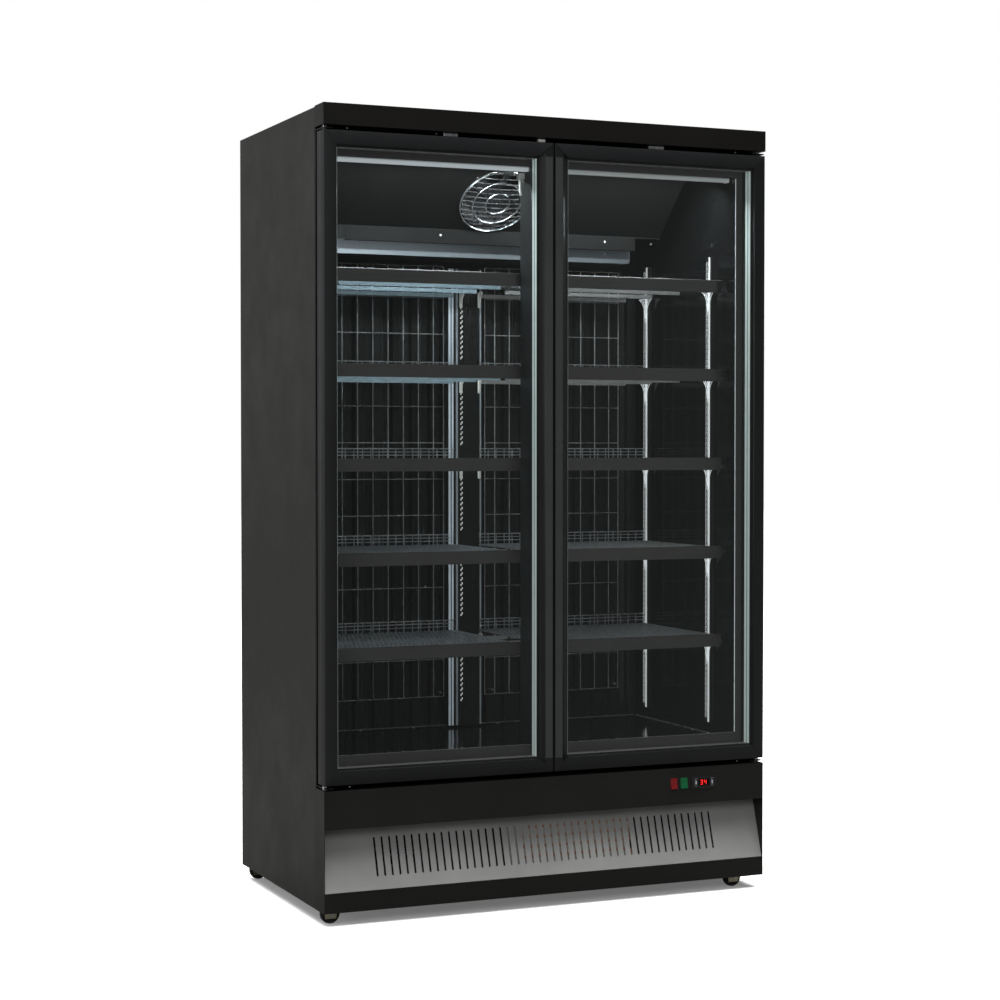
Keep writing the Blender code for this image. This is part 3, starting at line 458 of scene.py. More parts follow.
def half_circle(centre, radius, steps):
    """Points of a half circle in an upright X-Z plane, open towards the left."""
    turns = [math.radians(-90 + 180 * step / steps) for step in range(steps + 1)]
    return [Vector(centre) + Vector((radius * math.cos(a), 0, radius * math.sin(a))) for a in turns]


def circle(turn, radius, height, steps):
    """Points of a circle in the frame that a matrix gives, at a height along its axis."""
    turns = [math.tau * step / steps for step in range(steps)]
    return [turn @ Vector((radius * math.cos(a), radius * math.sin(a), height)) for a in turns]


def evenly(first, last, count):
    """Evenly spaced values from the first to the last."""
    return [first + (last - first) * k / (count - 1) for k in range(count)]


# ---------------------------------------------------------------- doors
STILE_OUTER = 0.033
STILE_CENTRE = 0.0385
DOOR_RAIL = 0.036
LIP = 0.008
GRIP_WIDTH = 0.014
GRIP_DEPTH = 0.0062
STRIP_SEAT = 0.0009
STRIP_EDGE = 0.0026
STRIP_GAP = 0.0014
STRIP_BOW = 0.0005
DOOR_DEPTH = 0.055
SETBACK = 0.00005
BEAD_SIZE = 0.0016


def door_profile(width, grip=False):
    """The section of a door member as (distance inwards from the outer edge, depth) pairs."""
    front = [(0.0, 0.0022), (0.0007, 0.0007), (0.0022, 0.0)]
    if grip:
        grip_start = width - GRIP_WIDTH
        front += [(STRIP_EDGE, STRIP_SEAT), (grip_start - STRIP_GAP, STRIP_SEAT), (grip_start - 0.001, 0.0),
                  (grip_start, 0.0008), (width, GRIP_DEPTH)]
    else:
        front += [(width - 0.0012, 0.0), (width, 0.0012)]
    return front + [(width, LIP), (width - LIP, LIP), (width - LIP, DOOR_DEPTH), (0.0, DOOR_DEPTH),
                    (0.0, 0.034), (0.0008, 0.033), (0.0008, 0.031), (0.0, 0.03)]


def mitred_member(shape, section, width, corner, inwards, along, length, near_width, far_width):
    """A door member whose two ends are cut on the line from its outer to its inner corner."""
    solid = bmesh.new()
    rings = []
    for end, other in ((0, near_width), (1, far_width)):
        ring = []
        for inset, depth in section:
            shift = inset * other / width
            run = shift if end == 0 else length - shift
            point = Vector(corner) + Vector(inwards) * inset + Vector(along) * run
            ring.append(solid.verts.new(point + Vector((0, depth + SETBACK, 0))))
        rings.append(ring)
    count = len(section)
    for k in range(count):
        solid.faces.new((rings[0][k], rings[0][(k + 1) % count], rings[1][(k + 1) % count], rings[1][k]))
    ends = [solid.faces.new(rings[0]), solid.faces.new(rings[1])]
    bmesh.ops.recalc_face_normals(solid, faces=solid.faces)
    rim = list({edge for face in ends for edge in face.edges})
    bmesh.ops.bevel(solid, geom=rim, offset=0.00035, segments=1, affect="EDGES", clamp_overlap=True)
    shape._take(solid)


def build_door(side, word):
    """A door's mitred profiles, its bowed grip strip, the bead round its glass and its edge screws."""
    low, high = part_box(word + "_door_frame")
    outer_x, inner_x = (low.x, high.x) if side < 0 else (high.x, low.x)
    tall, wide = high.z - low.z, high.x - low.x
    frame_shape = Shape()
    outer = door_profile(STILE_OUTER)
    centre = door_profile(STILE_CENTRE, grip=True)
    rail = door_profile(DOOR_RAIL)
    mitred_member(frame_shape, outer, STILE_OUTER, (outer_x, low.y, low.z), (-side, 0, 0), (0, 0, 1), tall,
                  DOOR_RAIL, DOOR_RAIL)
    mitred_member(frame_shape, centre, STILE_CENTRE, (inner_x, low.y, low.z), (side, 0, 0), (0, 0, 1), tall,
                  DOOR_RAIL, DOOR_RAIL)
    for z, up in ((low.z, 1), (high.z, -1)):
        mitred_member(frame_shape, rail, DOOR_RAIL, (outer_x, low.y, z), (0, 0, up), (-side, 0, 0), wide,
                      STILE_OUTER, STILE_CENTRE)
    piece = frame_shape.piece(word + "_door_profiles", TRIM, "door_profile", word + "_door")
    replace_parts(piece, word + "_door_frame")
    bottom, top = low.z + DOOR_RAIL, high.z - DOOR_RAIL
    build_grip_strip(side, word, inner_x, low.y, bottom, top)
    glass_low, glass_high = sorted((inner_x + side * STILE_CENTRE, outer_x - side * STILE_OUTER))
    build_glazing_bead(word, (glass_low, bottom), (glass_high, top), low.y + LIP)
    build_edge_screws(side, word, outer_x, low, high)


def build_grip_strip(side, word, inner_x, front, bottom, top):
    """A strip with a face bowed outwards, set in the centre stile."""
    strip = Shape()
    near = inner_x + side * STRIP_EDGE
    far = inner_x + side * (STILE_CENTRE - GRIP_WIDTH - STRIP_GAP)
    bow = [(near + (far - near) * t, front + 0.00002 + STRIP_BOW * (2 * t - 1) ** 2) for t in
           (0.0, 0.12, 0.25, 0.38, 0.5, 0.62, 0.75, 0.88, 1.0)]
    strip.prism(bow + [(far, front + STRIP_SEAT), (near, front + STRIP_SEAT)], "Z", bottom, top)
    strip.piece(word + "_door_grip_strip", GRIP, "door_profile", word + "_door")


def build_glazing_bead(word, low_corner, high_corner, y):
    """Four thin beads on the glass, from one (x, z) corner of the opening to the opposite one."""
    (left, bottom), (right, top) = low_corner, high_corner
    seal = Shape()
    lap = BEAD_SIZE * 0.2
    corners = [(left, bottom), (right, bottom), (right, top), (left, top)]
    for (x0, z0), (x1, z1) in zip(corners, corners[1:] + corners[:1]):
        seal.box((min(x0, x1) - lap, y - BEAD_SIZE, min(z0, z1) - lap),
                 (max(x0, x1) + lap, y, max(z0, z1) + lap), 0.0004)
    seal.piece(word + "_door_glazing_bead", RUBBER, "gasket_rubber", word + "_door")


def build_edge_screws(side, word, outer_x, low, high):
    """Screws in the door's hinge edge."""
    fixings = Shape()
    for z in (low.z + 0.03, low.z + 0.25, (low.z + high.z) / 2, high.z - 0.25, high.z - 0.03):
        fixings.screw((outer_x - side * 0.0015, low.y + 0.044, z), (side, 0, 0), 0.0028)
    fixings.piece(word + "_door_edge_screws", STEEL, "hinge_steel", word + "_door")


def build_spacer_liners():
    """The bare metal faces of each spacer that look into the glass, glowing as a painted highlight, with a
    darker line between them; the line and the top and bottom faces take a darker copy of the edge finish, as
    painted shade.
    """
    bar, sheet = 0.01, 0.0006
    for side, word in SIDES:
        low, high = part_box(word + "_door_spacer")
        middle = (low.y + high.y) / 2
        bright, dim = Shape(), Shape()
        for x in (low.x + bar, high.x - bar - sheet):
            for y0, y1 in ((low.y + 0.0005, middle - 0.0015), (middle + 0.0015, high.y - 0.0005)):
                bright.box((x, y0, low.z + bar + sheet), (x + sheet, y1, high.z - bar - sheet), 0.0001)
            dim.box((x, middle - 0.0015, low.z + bar + sheet), (x + sheet * 0.5, middle + 0.0015,
                                                               high.z - bar - sheet), 0.0001)
        for z in (low.z + bar, high.z - bar - sheet):
            dim.box((low.x + bar, low.y + 0.0005, z), (high.x - bar, high.y - 0.0005, z + sheet), 0.0001)
        bright.piece(word + "_spacer_sides", ALUMINIUM, "spacer_aluminium", word + "_door")
        dim.piece(word + "_spacer_ends", EDGE_DIM, "spacer_aluminium", word + "_door")


# ---------------------------------------------------------------- shelves
SHELVES = [(side, word, level) for side, word in SIDES for level in range(1, 6)]
RAIL_THICK = 0.0014
RAIL_TALL = 0.034
DECK_DROP = 0.0042
DECK_WIRE = 0.0011
DECK_WIRES = 42
CROSS_WIRES = 12
BAR_PLACES = (-0.105, 0.06, 0.225)
HANGERS = 6
FENCE_HEIGHT = 0.024
FENCE_POSTS = 22
BRACKET_X = {"left": -0.012, "right": 0.044}


def build_shelf(side, word, level):
    node = "shelf_{}_{}".format(word, level)
    low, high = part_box(node)
    build_shelf_rail(node, low, high)
    build_shelf_deck(node, low, high)
    build_shelf_bars(node, side, low, high)
    build_shelf_fence(node, low, high)
    build_shelf_hooks(node, side, word, high.z)
    build_rear_bracket(node, BRACKET_X[word], high.z)


def build_shelf_rail(node, low, high):
    """A folded front rail with a price channel and two end gussets."""
    top = high.z
    rail_shape = Shape()
    y0, z0, t = low.y, top - RAIL_TALL, RAIL_THICK
    section = [(y0 + 0.0008, z0), (y0 + 0.008, z0), (y0 + 0.008, z0 + t),
               (y0 + t + 0.0006, z0 + t + 0.0004), (y0 + t, z0 + t + 0.001),
               (y0 + t, top - t - 0.001), (y0 + t + 0.001, top - t),
               (y0 + 0.014, top - t), (y0 + 0.014, top - 0.01), (y0 + 0.0154, top - 0.01),
               (y0 + 0.0154, top - 0.0008), (y0 + 0.0148, top), (y0 + 0.0012, top), (y0, top - 0.0012),
               (y0, z0 + 0.001)]
    rail_shape.prism(section, "X", low.x, high.x)
    for x in (low.x, high.x - 0.0012):
        rail_shape.prism([(y0 + 0.001, z0 + 0.001), (y0 + 0.015, z0 + 0.013), (y0 + 0.015, top - 0.001),
                          (y0 + 0.001, top - 0.001)], "X", x, x + 0.0012)
    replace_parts(rail_shape.piece(node + "_rail", RAIL, "shelf_coat"), node)


def build_shelf_deck(node, low, high):
    """Fine wires from front to rear on cross wires, between two heavier side wires."""
    deck = Shape()
    deck_z = high.z - DECK_DROP
    front, rear = low.y + 0.012, high.y
    for x in evenly(low.x + 0.004, high.x - 0.004, DECK_WIRES):
        deck.rod((x, front, deck_z), (x, rear - 0.002, deck_z), DECK_WIRE, 5)
    for y in evenly(front + 0.006, rear - 0.004, CROSS_WIRES):
        deck.rod((low.x + 0.001, y, deck_z - 0.0024), (high.x - 0.001, y, deck_z - 0.0024), DECK_WIRE, 5)
    for x in (low.x + 0.0022, high.x - 0.0022):
        deck.rod((x, front, deck_z - 0.003), (x, rear - 0.001, deck_z - 0.003), 0.0021, 8)
    deck.piece(node + "_deck", DECK, "shelf_coat")


def build_shelf_bars(node, side, low, high):
    """Three cross bars on edge under the deck, each held by a row of hangers."""
    top = high.z
    bars, hangers = Shape(), Shape()
    inner, outer = (high.x, low.x) if side < 0 else (low.x, high.x)
    u0, u1 = sorted((inner + side * 0.006, outer - side * 0.066))
    for y in BAR_PLACES:
        bars.prism([(y - 0.001, top - 0.024), (y + 0.001, top - 0.024), (y + 0.001, top - 0.0345),
                    (y + 0.0005, top - 0.035), (y - 0.0005, top - 0.035), (y - 0.001, top - 0.0345)],
                   "X", u0, u1)
        for x in evenly(u0 + 0.012, u1 - 0.012, HANGERS):
            hangers.box((x - 0.004, y - 0.0009, top - 0.025), (x + 0.004, y + 0.0009, top - 0.007), 0.0002)
    hangers.piece(node + "_bar_hangers", RAIL, "shelf_coat")
    # The left bay's bars take the lit copy, a painted highlight; the right bay's take the shaded copy,
    # painted shade.
    bars.piece(node + "_bars", BAR if side < 0 else BAR_SHADED, "shelf_coat")


def build_shelf_fence(node, low, high):
    """A low fence along the rear edge."""
    fence = Shape()
    y, top = high.y - 0.003, high.z
    for rise, radius in ((FENCE_HEIGHT, 0.0016), (0.015, 0.0012), (0.006, 0.0012)):
        fence.rod((low.x + 0.002, y, top + rise), (high.x - 0.002, y, top + rise), radius, 6)
    for x in evenly(low.x + 0.004, high.x - 0.004, FENCE_POSTS):
        fence.rod((x, y, top - DECK_DROP), (x, y, top + FENCE_HEIGHT), 0.0012, 5)
    fence.piece(node + "_fence", DECK, "shelf_coat")


def build_shelf_hooks(node, side, word, top):
    """Under each wall upright, wires that flare out from a hook plate."""
    hook = Shape()
    for place in ("front", "rear"):
        up_low, up_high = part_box("upright_{}_{}".format(word, place))
        y = (up_low.y + up_high.y) / 2
        face = (up_low.x if side > 0 else up_high.x) - side * 0.0016
        flare = [(0.003, 0.075), (0.004, 0.06), (0.0075, 0.043), (0.014, 0.029), (0.025, 0.017),
                 (0.04, 0.0095)]
        for way in (-1, 1):
            for scale, start, radius in ((1.0, 0.014, 0.001), (0.62, 0.02, 0.0008)):
                wire = [(face, y + way * (out * scale), top - start - drop * scale) for out, drop in flare]
                hook.wire(wire, radius, 6)
        hook.wire([(face, y - 0.04, top - 0.0235), (face, y + 0.04, top - 0.0235)], 0.0013, 6)
        hook.prism([(y - 0.003, top - 0.025), (y + 0.003, top - 0.025), (y + 0.002, top - 0.08),
                    (y - 0.002, top - 0.08)], "X", face - 0.0005, face + 0.0005)
    # The hooks take the glowing lip finish, a painted highlight.
    hook.piece(node + "_wall_hooks", LIP_HIGHLIGHT, "upright_steel")


def build_rear_bracket(node, x, top):
    """A nylon bracket between the shelf's inner rear corner and the middle column."""
    bracket = Shape()
    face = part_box("rear_duct_panel")[0].y
    bracket.prism([(face - 0.022, top - 0.016), (face - 0.0004, top - 0.016), (face - 0.0004, top - 0.062),
                   (face - 0.005, top - 0.06), (face - 0.011, top - 0.036), (face - 0.022, top - 0.026)],
                  "X", x - 0.0016, x + 0.0016, bevel=0.0003)
    bracket.box((x - 0.0045, face - 0.002, top - 0.06), (x + 0.0045, face - 0.0004, top - 0.02), 0.0004)
    bracket.piece(node + "_rear_bracket", WHITE_PLASTIC, "upright_steel")


# ---------------------------------------------------------------- rear grids and column
GRID_Y = 0.276
GRID_LOW = 0.482
GRID_HIGH = 1.702
GRID_EDGE = 0.031
GRID_PITCH = 0.0455
SLOT_PITCH = 0.0142
COLUMN_HALF = 0.05
COLUMN_STRIPS = ((-COLUMN_HALF, -0.0435, STRIP, 0.0012), (-0.0405, -0.035, STRIP, 0.0016),
                 (-0.0275, -0.0215, STRIP_DIM, 0.0014), (0.0455, COLUMN_HALF, STRIP_DIM, 0.0012))


def build_rear_grids():
    """Two wire grids in front of the duct panel, and the clips that hold them."""
    y, low_z, high_z = GRID_Y, GRID_LOW, GRID_HIGH
    for word, right, wires in (("left", -0.053, 10), ("right", 0.5, 9)):
        grid = Shape()
        columns = [right] + [right - GRID_EDGE - GRID_PITCH * k for k in range(wires)]
        left = columns[-1] - GRID_EDGE
        columns.append(left)
        for x in columns:
            grid.rod((x, y, low_z), (x, y, high_z), 0.0016, 6)
        rows = [low_z] + [0.588 + 0.1025 * k for k in range(11)] + [high_z]
        for z in rows:
            grid.rod((left, y + 0.003, z), (right, y + 0.003, z), 0.0013, 6)
        grid.piece("rear_grid_" + word, WIRE, "guard_chrome")
        clips = Shape()
        for x in (right - 0.012, left + 0.02):
            for z in (low_z + 0.012, high_z - 0.01):
                arms = [(x + reach, y - 0.002, z + 0.004) for reach in (-0.01, 0.01)]
                clips.wire([arms[0], (x, y - 0.006, z), arms[1]], 0.0016, 6)
                clips.screw((x, y - 0.006, z), (0, -1, 0), 0.0042)
        clips.piece("rear_grid_clips_" + word, CHROME, "guard_chrome")


def slot_runs(low_z, high_z, pitch, run_length, gap):
    """Heights of slots in runs, with a plain stretch after each run."""
    z, heights = low_z, []
    while z < high_z:
        heights.append(z)
        z += pitch
        if len(heights) % run_length == 0:
            z += gap
    return heights


def build_column():
    """Strips down the middle column, two glowing as a painted highlight and two darker as painted shade, and
    two rows of slots whose rims glow as a painted highlight.
    """
    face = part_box("rear_duct_panel")[0].y
    base, top = 0.401, 1.694
    for index, (x0, x1, surface, proud) in enumerate(COLUMN_STRIPS):
        strip = Shape()
        strip.box((x0, face - proud - 0.0004, base + 0.001), (x1, face - 0.0004, top), 0.0003)
        strip.piece("column_strip_{}".format(index + 1), surface, "upright_steel")
    plates = Shape()
    for run in slot_runs(0.47, 1.64, SLOT_PITCH, 12, 0.072):
        for x, lift in ((-0.0118, 0.0), (-0.0082, 0.0045)):
            z = run + lift
            plates.box((x - 0.0014, face - 0.001, z), (x + 0.0014, face - 0.0004, z + 0.0052), 0.0002)
    plates.piece("column_slots", SLOT, "upright_steel")


def build_upright_slots():
    """Each wall upright has a plain flange that glows as a painted highlight and a flange with a row of slots
    whose rims glow as a painted highlight.
    """
    for side, word in SIDES:
        for place in ("front", "rear"):
            low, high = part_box("upright_{}_{}".format(word, place))
            marks, flange = Shape(), Shape()
            face = (low.x if side > 0 else high.x) - side * 0.0003
            y = (low.y + high.y) / 2
            z = low.z + 0.012
            while z < high.z - 0.012:
                proud = face - side * 0.0007
                for offset in (0.004, 0.0125):
                    edge = y + offset
                    marks.box((proud, edge - 0.0007, z), (face, edge + 0.0007, z + 0.0105), 0.0001)
                marks.box((proud, y + 0.004, z + 0.0105), (face, y + 0.0125, z + 0.0122), 0.0001)
                z += SLOT_PITCH
            marks.piece("upright_slots_{}_{}".format(word, place), SLOT, "upright_steel")
            flange.box((face - side * 0.0009, y - 0.009, low.z), (face, y - 0.0005, high.z), 0.0003)
            flange.piece("upright_flange_{}_{}".format(word, place), LIP_HIGHLIGHT, "upright_steel")


# ---------------------------------------------------------------- evaporator housing and light bars
GUARD_REACH = 0.102


def build_fan_guard():
    """A domed guard of straight wires and rings, with its rim and four screws."""
    centre, axis = joint("evaporator_fan_spin")
    turn = Matrix.Translation(centre) @ axis.to_track_quat("Z", "Y").to_matrix().to_4x4()
    guard = Shape()
    reach, bars = GUARD_REACH, 13
    for k in range(bars):
        across = reach * (2 * (k + 0.5) / bars - 1)
        half = math.sqrt(reach ** 2 - across ** 2)
        points = []
        for step in range(9):
            x = half * (step / 4 - 1)
            dome = 0.015 - 0.009 * (x * x + across * across) / reach ** 2
            points.append(turn @ Vector((x, across, dome)))
        guard.wire(points, 0.0013, 6)
    for radius in (0.034, 0.069, reach):
        dome = 0.0166 - 0.009 * radius ** 2 / reach ** 2
        guard.wire(circle(turn, radius, dome, 44), 0.0014, 6, closed=True)
    piece = guard.piece("evaporator_guard_wires", GUARD, "guard_chrome")
    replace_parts(piece, "evaporator_fan_guard")
    sleeve = Shape()
    sleeve.wire(circle(turn, reach, 0.0024, 48), 0.0018, 8, closed=True)
    sleeve.turned([(0.0945, 0.002), (0.0955, 0.002), (0.0955, -0.01), (0.0945, -0.01),
                   (0.0945, 0.002)], centre, axis, 40)
    for k in range(4):
        a = math.radians(45 + 90 * k)
        sleeve.screw(turn @ Vector((0.1035 * math.cos(a), 0.1035 * math.sin(a), 0.0016)), axis, 0.004)
    sleeve.piece("evaporator_guard_rim", CHROME, "guard_chrome")


def build_evaporator_trim():
    """Screws of the cover and the tray, and the cable and plug of the light bar."""
    tray_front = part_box("drip_tray")[0].y
    screws = Shape()
    for x in (-0.48, -0.16, 0.16, 0.335, 0.48):
        screws.screw((x, 0.0318, 1.764), (0, -1, 0), 0.0034)
    for x in (-0.38, 0.351):
        screws.screw((x, tray_front - 0.0001, 1.735), (0, -1, 0), 0.0034)
    screws.piece("evaporator_screws", STEEL, "hinge_steel")

    loom = Shape()
    loom.wire([(-0.044, -0.236, 1.905), (-0.0445, -0.236, 1.886), (-0.044, -0.2355, 1.87),
               (-0.0425, -0.234, 1.858), (-0.0395, -0.231, 1.85)], 0.0032, 8)
    loom.piece("light_bar_cable", WHITE_PLASTIC, "led_diffuser")
    plug = Shape()
    plug.box((-0.05, -0.246, 1.889), (-0.034, -0.226, 1.905), 0.0012, 2)
    plug.box((-0.0475, -0.2485, 1.8915), (-0.0365, -0.2465, 1.9025), 0.0006)
    plug.piece("light_bar_plug", WHITE_PLASTIC, "led_diffuser")


def build_light_bar_ends():
    """End caps, and the brighter lens over the left part of the bar."""
    low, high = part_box("led_light_bar")
    caps = Shape()
    for x0, x1 in ((low.x, low.x + 0.008), (high.x - 0.008, high.x)):
        caps.box((x0, low.y - 0.001, low.z - 0.0008), (x1, high.y - 0.0004, high.z - 0.001), 0.001, 2)
    caps.piece("light_bar_caps", LED, "led_diffuser")
    lens = Shape()
    y, z, lens_top = low.y, low.z, high.z - 0.0012
    lens.prism([(y - 0.0007, z - 0.0006), (y - 0.0007, lens_top), (y - 0.0001, lens_top),
                (y - 0.0001, z - 0.0001), (y + 0.015, z - 0.0001), (y + 0.015, z - 0.0006)],
               "X", low.x + 0.009, -0.034)
    lens.piece("light_bar_lens", LED_BRIGHT, "led_diffuser")


def build_tray_face():
    """The folded front of the drip tray, with its rounded lower corner and a painted sheen that glows and is
    lighter towards its left end, and the end of the band above it.
    """
    low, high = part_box("drip_tray")
    corner = 0.012
    left = low.x - 0.02
    outline = [(left, low.z), (high.x - corner, low.z)]
    outline += [(high.x - corner + corner * math.sin(a), low.z + corner - corner * math.cos(a))
                for a in (math.radians(t) for t in (20, 40, 60, 80, 90))]
    outline += [(high.x, high.z - 0.001), (left, high.z - 0.001)]
    face = Shape()
    face.prism(outline, "Y", low.y - 0.0009, low.y - 0.0003)
    face.piece("drip_tray_face", TRAY, "painted_steel")
    band = Shape()
    band.box((left - 0.02, 0.0324, 1.744), (-0.42, 0.0332, 1.7815), 0.0003)
    band.piece("evaporator_band_end", FOLD_PAINT, "painted_steel")


# ---------------------------------------------------------------- outside of the cabinet
FLANGE_OUT = 0.593
MULLION_HALF = 0.033
SILL_TOP = 0.4154
FLOOR_BEAD_Z = 0.3962
FLOOR_SCREWS = ((0.567, -0.19), (0.567, -0.06), (-0.567, -0.19), (-0.3, 0.29), (0.12, 0.29),
                (-0.14, 0.29))


def build_opening_trim():
    """Folded edges of the liner round the opening, the sides glowing as a painted highlight and the sill in a
    darker copy as painted shade, and the painted flange outside them, which glows faintly as painted light.
    """
    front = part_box("insulated_cabinet")[0].y
    edge = Shape()
    for x in (-0.5722, 0.5722):
        edge.box((x, front - 0.0006, 0.417), (x + 0.0014, front + 0.003, 1.916), 0.0003)
    edge.piece("opening_edge_sides", EDGE, "gloss_liner")
    sill = Shape()
    for x0, x1 in ((-0.57, -0.0345), (0.0345, 0.57)):
        sill.box((x0, front - 0.0006, SILL_TOP), (x1, front + 0.003, 0.4164), 0.0002)
    sill.piece("opening_edge_sill", EDGE_DIM, "gloss_liner")

    flange = Shape()
    spans = [(x0, x1, z0, z1) for z0, z1 in ((0.385, 0.4152), (1.9182, 1.938))
             for x0, x1 in ((-FLANGE_OUT, -MULLION_HALF), (MULLION_HALF, FLANGE_OUT))]
    spans += [(-FLANGE_OUT, -0.5726, SILL_TOP, 1.918), (0.5735, FLANGE_OUT, SILL_TOP, 1.918)]
    for x0, x1, z0, z1 in spans:
        flange.box((x0, front - 0.0007, z0), (x1, front - 0.0001, z1), 0.0002)
    flange.piece("opening_flange", FLANGE, "painted_steel")


def build_floor_beads():
    """Sealing beads along the floor's rear and side edges, and the floor's screws."""
    corner = Shape()
    for (x0, y0), (x1, y1) in (((0.574, -0.24), (0.574, 0.305)), ((-0.574, -0.24), (-0.574, 0.305)),
                               ((-0.57, 0.308), (0.57, 0.308))):
        corner.wire([(x0, y0, FLOOR_BEAD_Z), (x1, y1, FLOOR_BEAD_Z)], 0.001, 6)
    for x, y in FLOOR_SCREWS:
        corner.screw((x, y, 0.3952), (0, 0, 1), 0.004)
    # The beads and screws take the darker edge copy, which glows faintly as painted light.
    corner.piece("floor_corner_beads", EDGE_DIM, "gloss_liner")


def build_dust_screen():
    """A ribbed sheet inside the rear grille, which closes the view through its slots."""
    screen = Shape()
    screen.box((-0.613, 0.35115, 0.078), (0.613, 0.35165, 0.334), 0.0001)
    for x in evenly(-0.6, 0.6, 24):
        screen.rod((x, 0.35085, 0.08), (x, 0.35085, 0.332), 0.0008, 6)
    screen.piece("rear_dust_screen", RUBBER, "black_plastic")


def build_side_beads():
    """A rounded bead down the front edge of each side panel, painted lighter than the panel as a painted
    highlight along the edge.
    """
    for side, word in SIDES:
        low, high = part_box("side_panel_" + word)
        bead = Shape()
        x = low.x if side < 0 else high.x
        bead.rod((x - side * 0.0014, low.y + 0.0014, low.z + 0.001),
                 (x - side * 0.0014, low.y + 0.0014, high.z - 0.001), 0.00135, 8)
        bead.piece("side_edge_bead_" + word, BEAD, "painted_steel")


def build_top_gap_hardware():
    """Hinge plates and screws in the gaps above and below the doors."""
    silver, cream = Shape(), Shape()
    for x0, x1 in ((-0.6205, -0.6125), (0.605, 0.613), (-0.3013, -0.2627), (0.2797, 0.3242)):
        silver.box((x0, -0.342, 1.974), (x1, -0.33, 1.9825), 0.0006)
    for x in (-0.5584, -0.3208, 0.5403):
        silver.screw((x, -0.34, 1.979), (0, -1, 0), 0.0026)
    for x in (-0.619, 0.609):
        silver.box((x - 0.004, -0.342, 0.3405), (x + 0.004, -0.33, 0.35), 0.0006)
    for x in (-0.5551, 0.5489):
        silver.screw((x, -0.341, 0.3455), (0, -1, 0), 0.0022)
    silver.piece("hinge_hardware", STEEL, "hinge_steel")
    cream.box((-0.0389, -0.342, 1.9745), (-0.0197, -0.33, 1.982), 0.001)
    cream.piece("door_switch_block", WHITE_PLASTIC, "key_plastic")


def build_rear_details():
    """Two rows of screws in the rear grille."""
    low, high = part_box("rear_grille")
    screws = Shape()
    for x in (-0.6, -0.2, 0.2, 0.6):
        for z in (low.z + 0.01, high.z - 0.01):
            screws.screw((x, high.y - 0.0001, z), (0, 1, 0), 0.0034)
    screws.piece("rear_panel_screws", STEEL, "painted_steel")


TUBE_ROWS = 8


def build_condenser_tubes():
    """A row of tubes in front of the fins, joined in pairs by half bends."""
    low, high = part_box("condenser")
    tubes = Shape()
    y, radius = low.y - 0.005, 0.004
    rise = (high.z - low.z - 0.044) / (TUBE_ROWS - 1)
    for k in range(TUBE_ROWS):
        z = low.z + 0.022 + rise * k
        tubes.rod((low.x + 0.008, y, z), (high.x - 0.008, y, z), radius, 10)
        if k % 2 == 0:
            tubes.wire(half_circle((high.x - 0.008, y, z + rise / 2), rise / 2, 8), radius, 10)
    tubes.piece("condenser_tubes", COPPER, "coil_aluminium")


SEGMENTS = {"3": "abcdg", "4": "bcfg"}
DIGIT_HEIGHT = 0.0125
DIGIT_WIDTH = 0.0066
DIGIT_STROKE = 0.0013
DIGIT_PITCH = 0.0112


def build_controls():
    """The controller's window with two lit figures, and an arrow pair on each key."""
    low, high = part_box("controller")
    window = Shape()
    centre_x = (low.x + high.x) / 2
    centre_z = (low.z + high.z) / 2
    window.box((centre_x - 0.0165, low.y, centre_z - 0.0095),
               (centre_x + 0.0165, low.y + 0.0006, centre_z + 0.0095), 0.0002)
    window.piece("display_window", SMOKED, "black_plastic")
    digits = Shape()
    y = low.y
    height, width, stroke = DIGIT_HEIGHT, DIGIT_WIDTH, DIGIT_STROKE
    for index, figure in enumerate("34"):
        x = centre_x - 0.0105 + index * DIGIT_PITCH
        z = centre_z - height / 2
        bars = {"a": (x, z + height - stroke, x + width, z + height), "d": (x, z, x + width, z + stroke),
                "g": (x, z + height / 2 - stroke / 2, x + width, z + height / 2 + stroke / 2),
                "f": (x, z + height / 2, x + stroke, z + height),
                "b": (x + width - stroke, z + height / 2, x + width, z + height),
                "c": (x + width - stroke, z, x + width, z + height / 2)}
        for name in SEGMENTS[figure]:
            x0, z0, x1, z1 = bars[name]
            digits.box((x0, y - 0.0004, z0), (x1, y - 0.0001, z1), 0.0001)
    digits.piece("display_digits", DIGIT, "red_lens")
    for side, word in SIDES:
        key_low, key_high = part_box("key_" + word)
        x, z, face = (key_low.x + key_high.x) / 2, (key_low.z + key_high.z) / 2, key_low.y
        marks = Shape()
        for arrow in ([(x - 0.002, z + 0.001), (x + 0.002, z + 0.001), (x, z + 0.0044)],
                      [(x - 0.002, z - 0.001), (x, z - 0.0044), (x + 0.002, z - 0.001)]):
            marks.prism(arrow, "Y", face - 0.0003, face)
        marks.piece("key_mark_" + word, MARK, "key_plastic", word + "_key")


# ---------------------------------------------------------------- casters and machinery
WHEEL_BORE = 0.0082
NUT_SECTION = ((0.0, 0.0024), (0.003, 0.0024), (0.0036, 0.0018), (0.0052, 0.0018), (0.0058, 0.0), (0.0, 0.0))


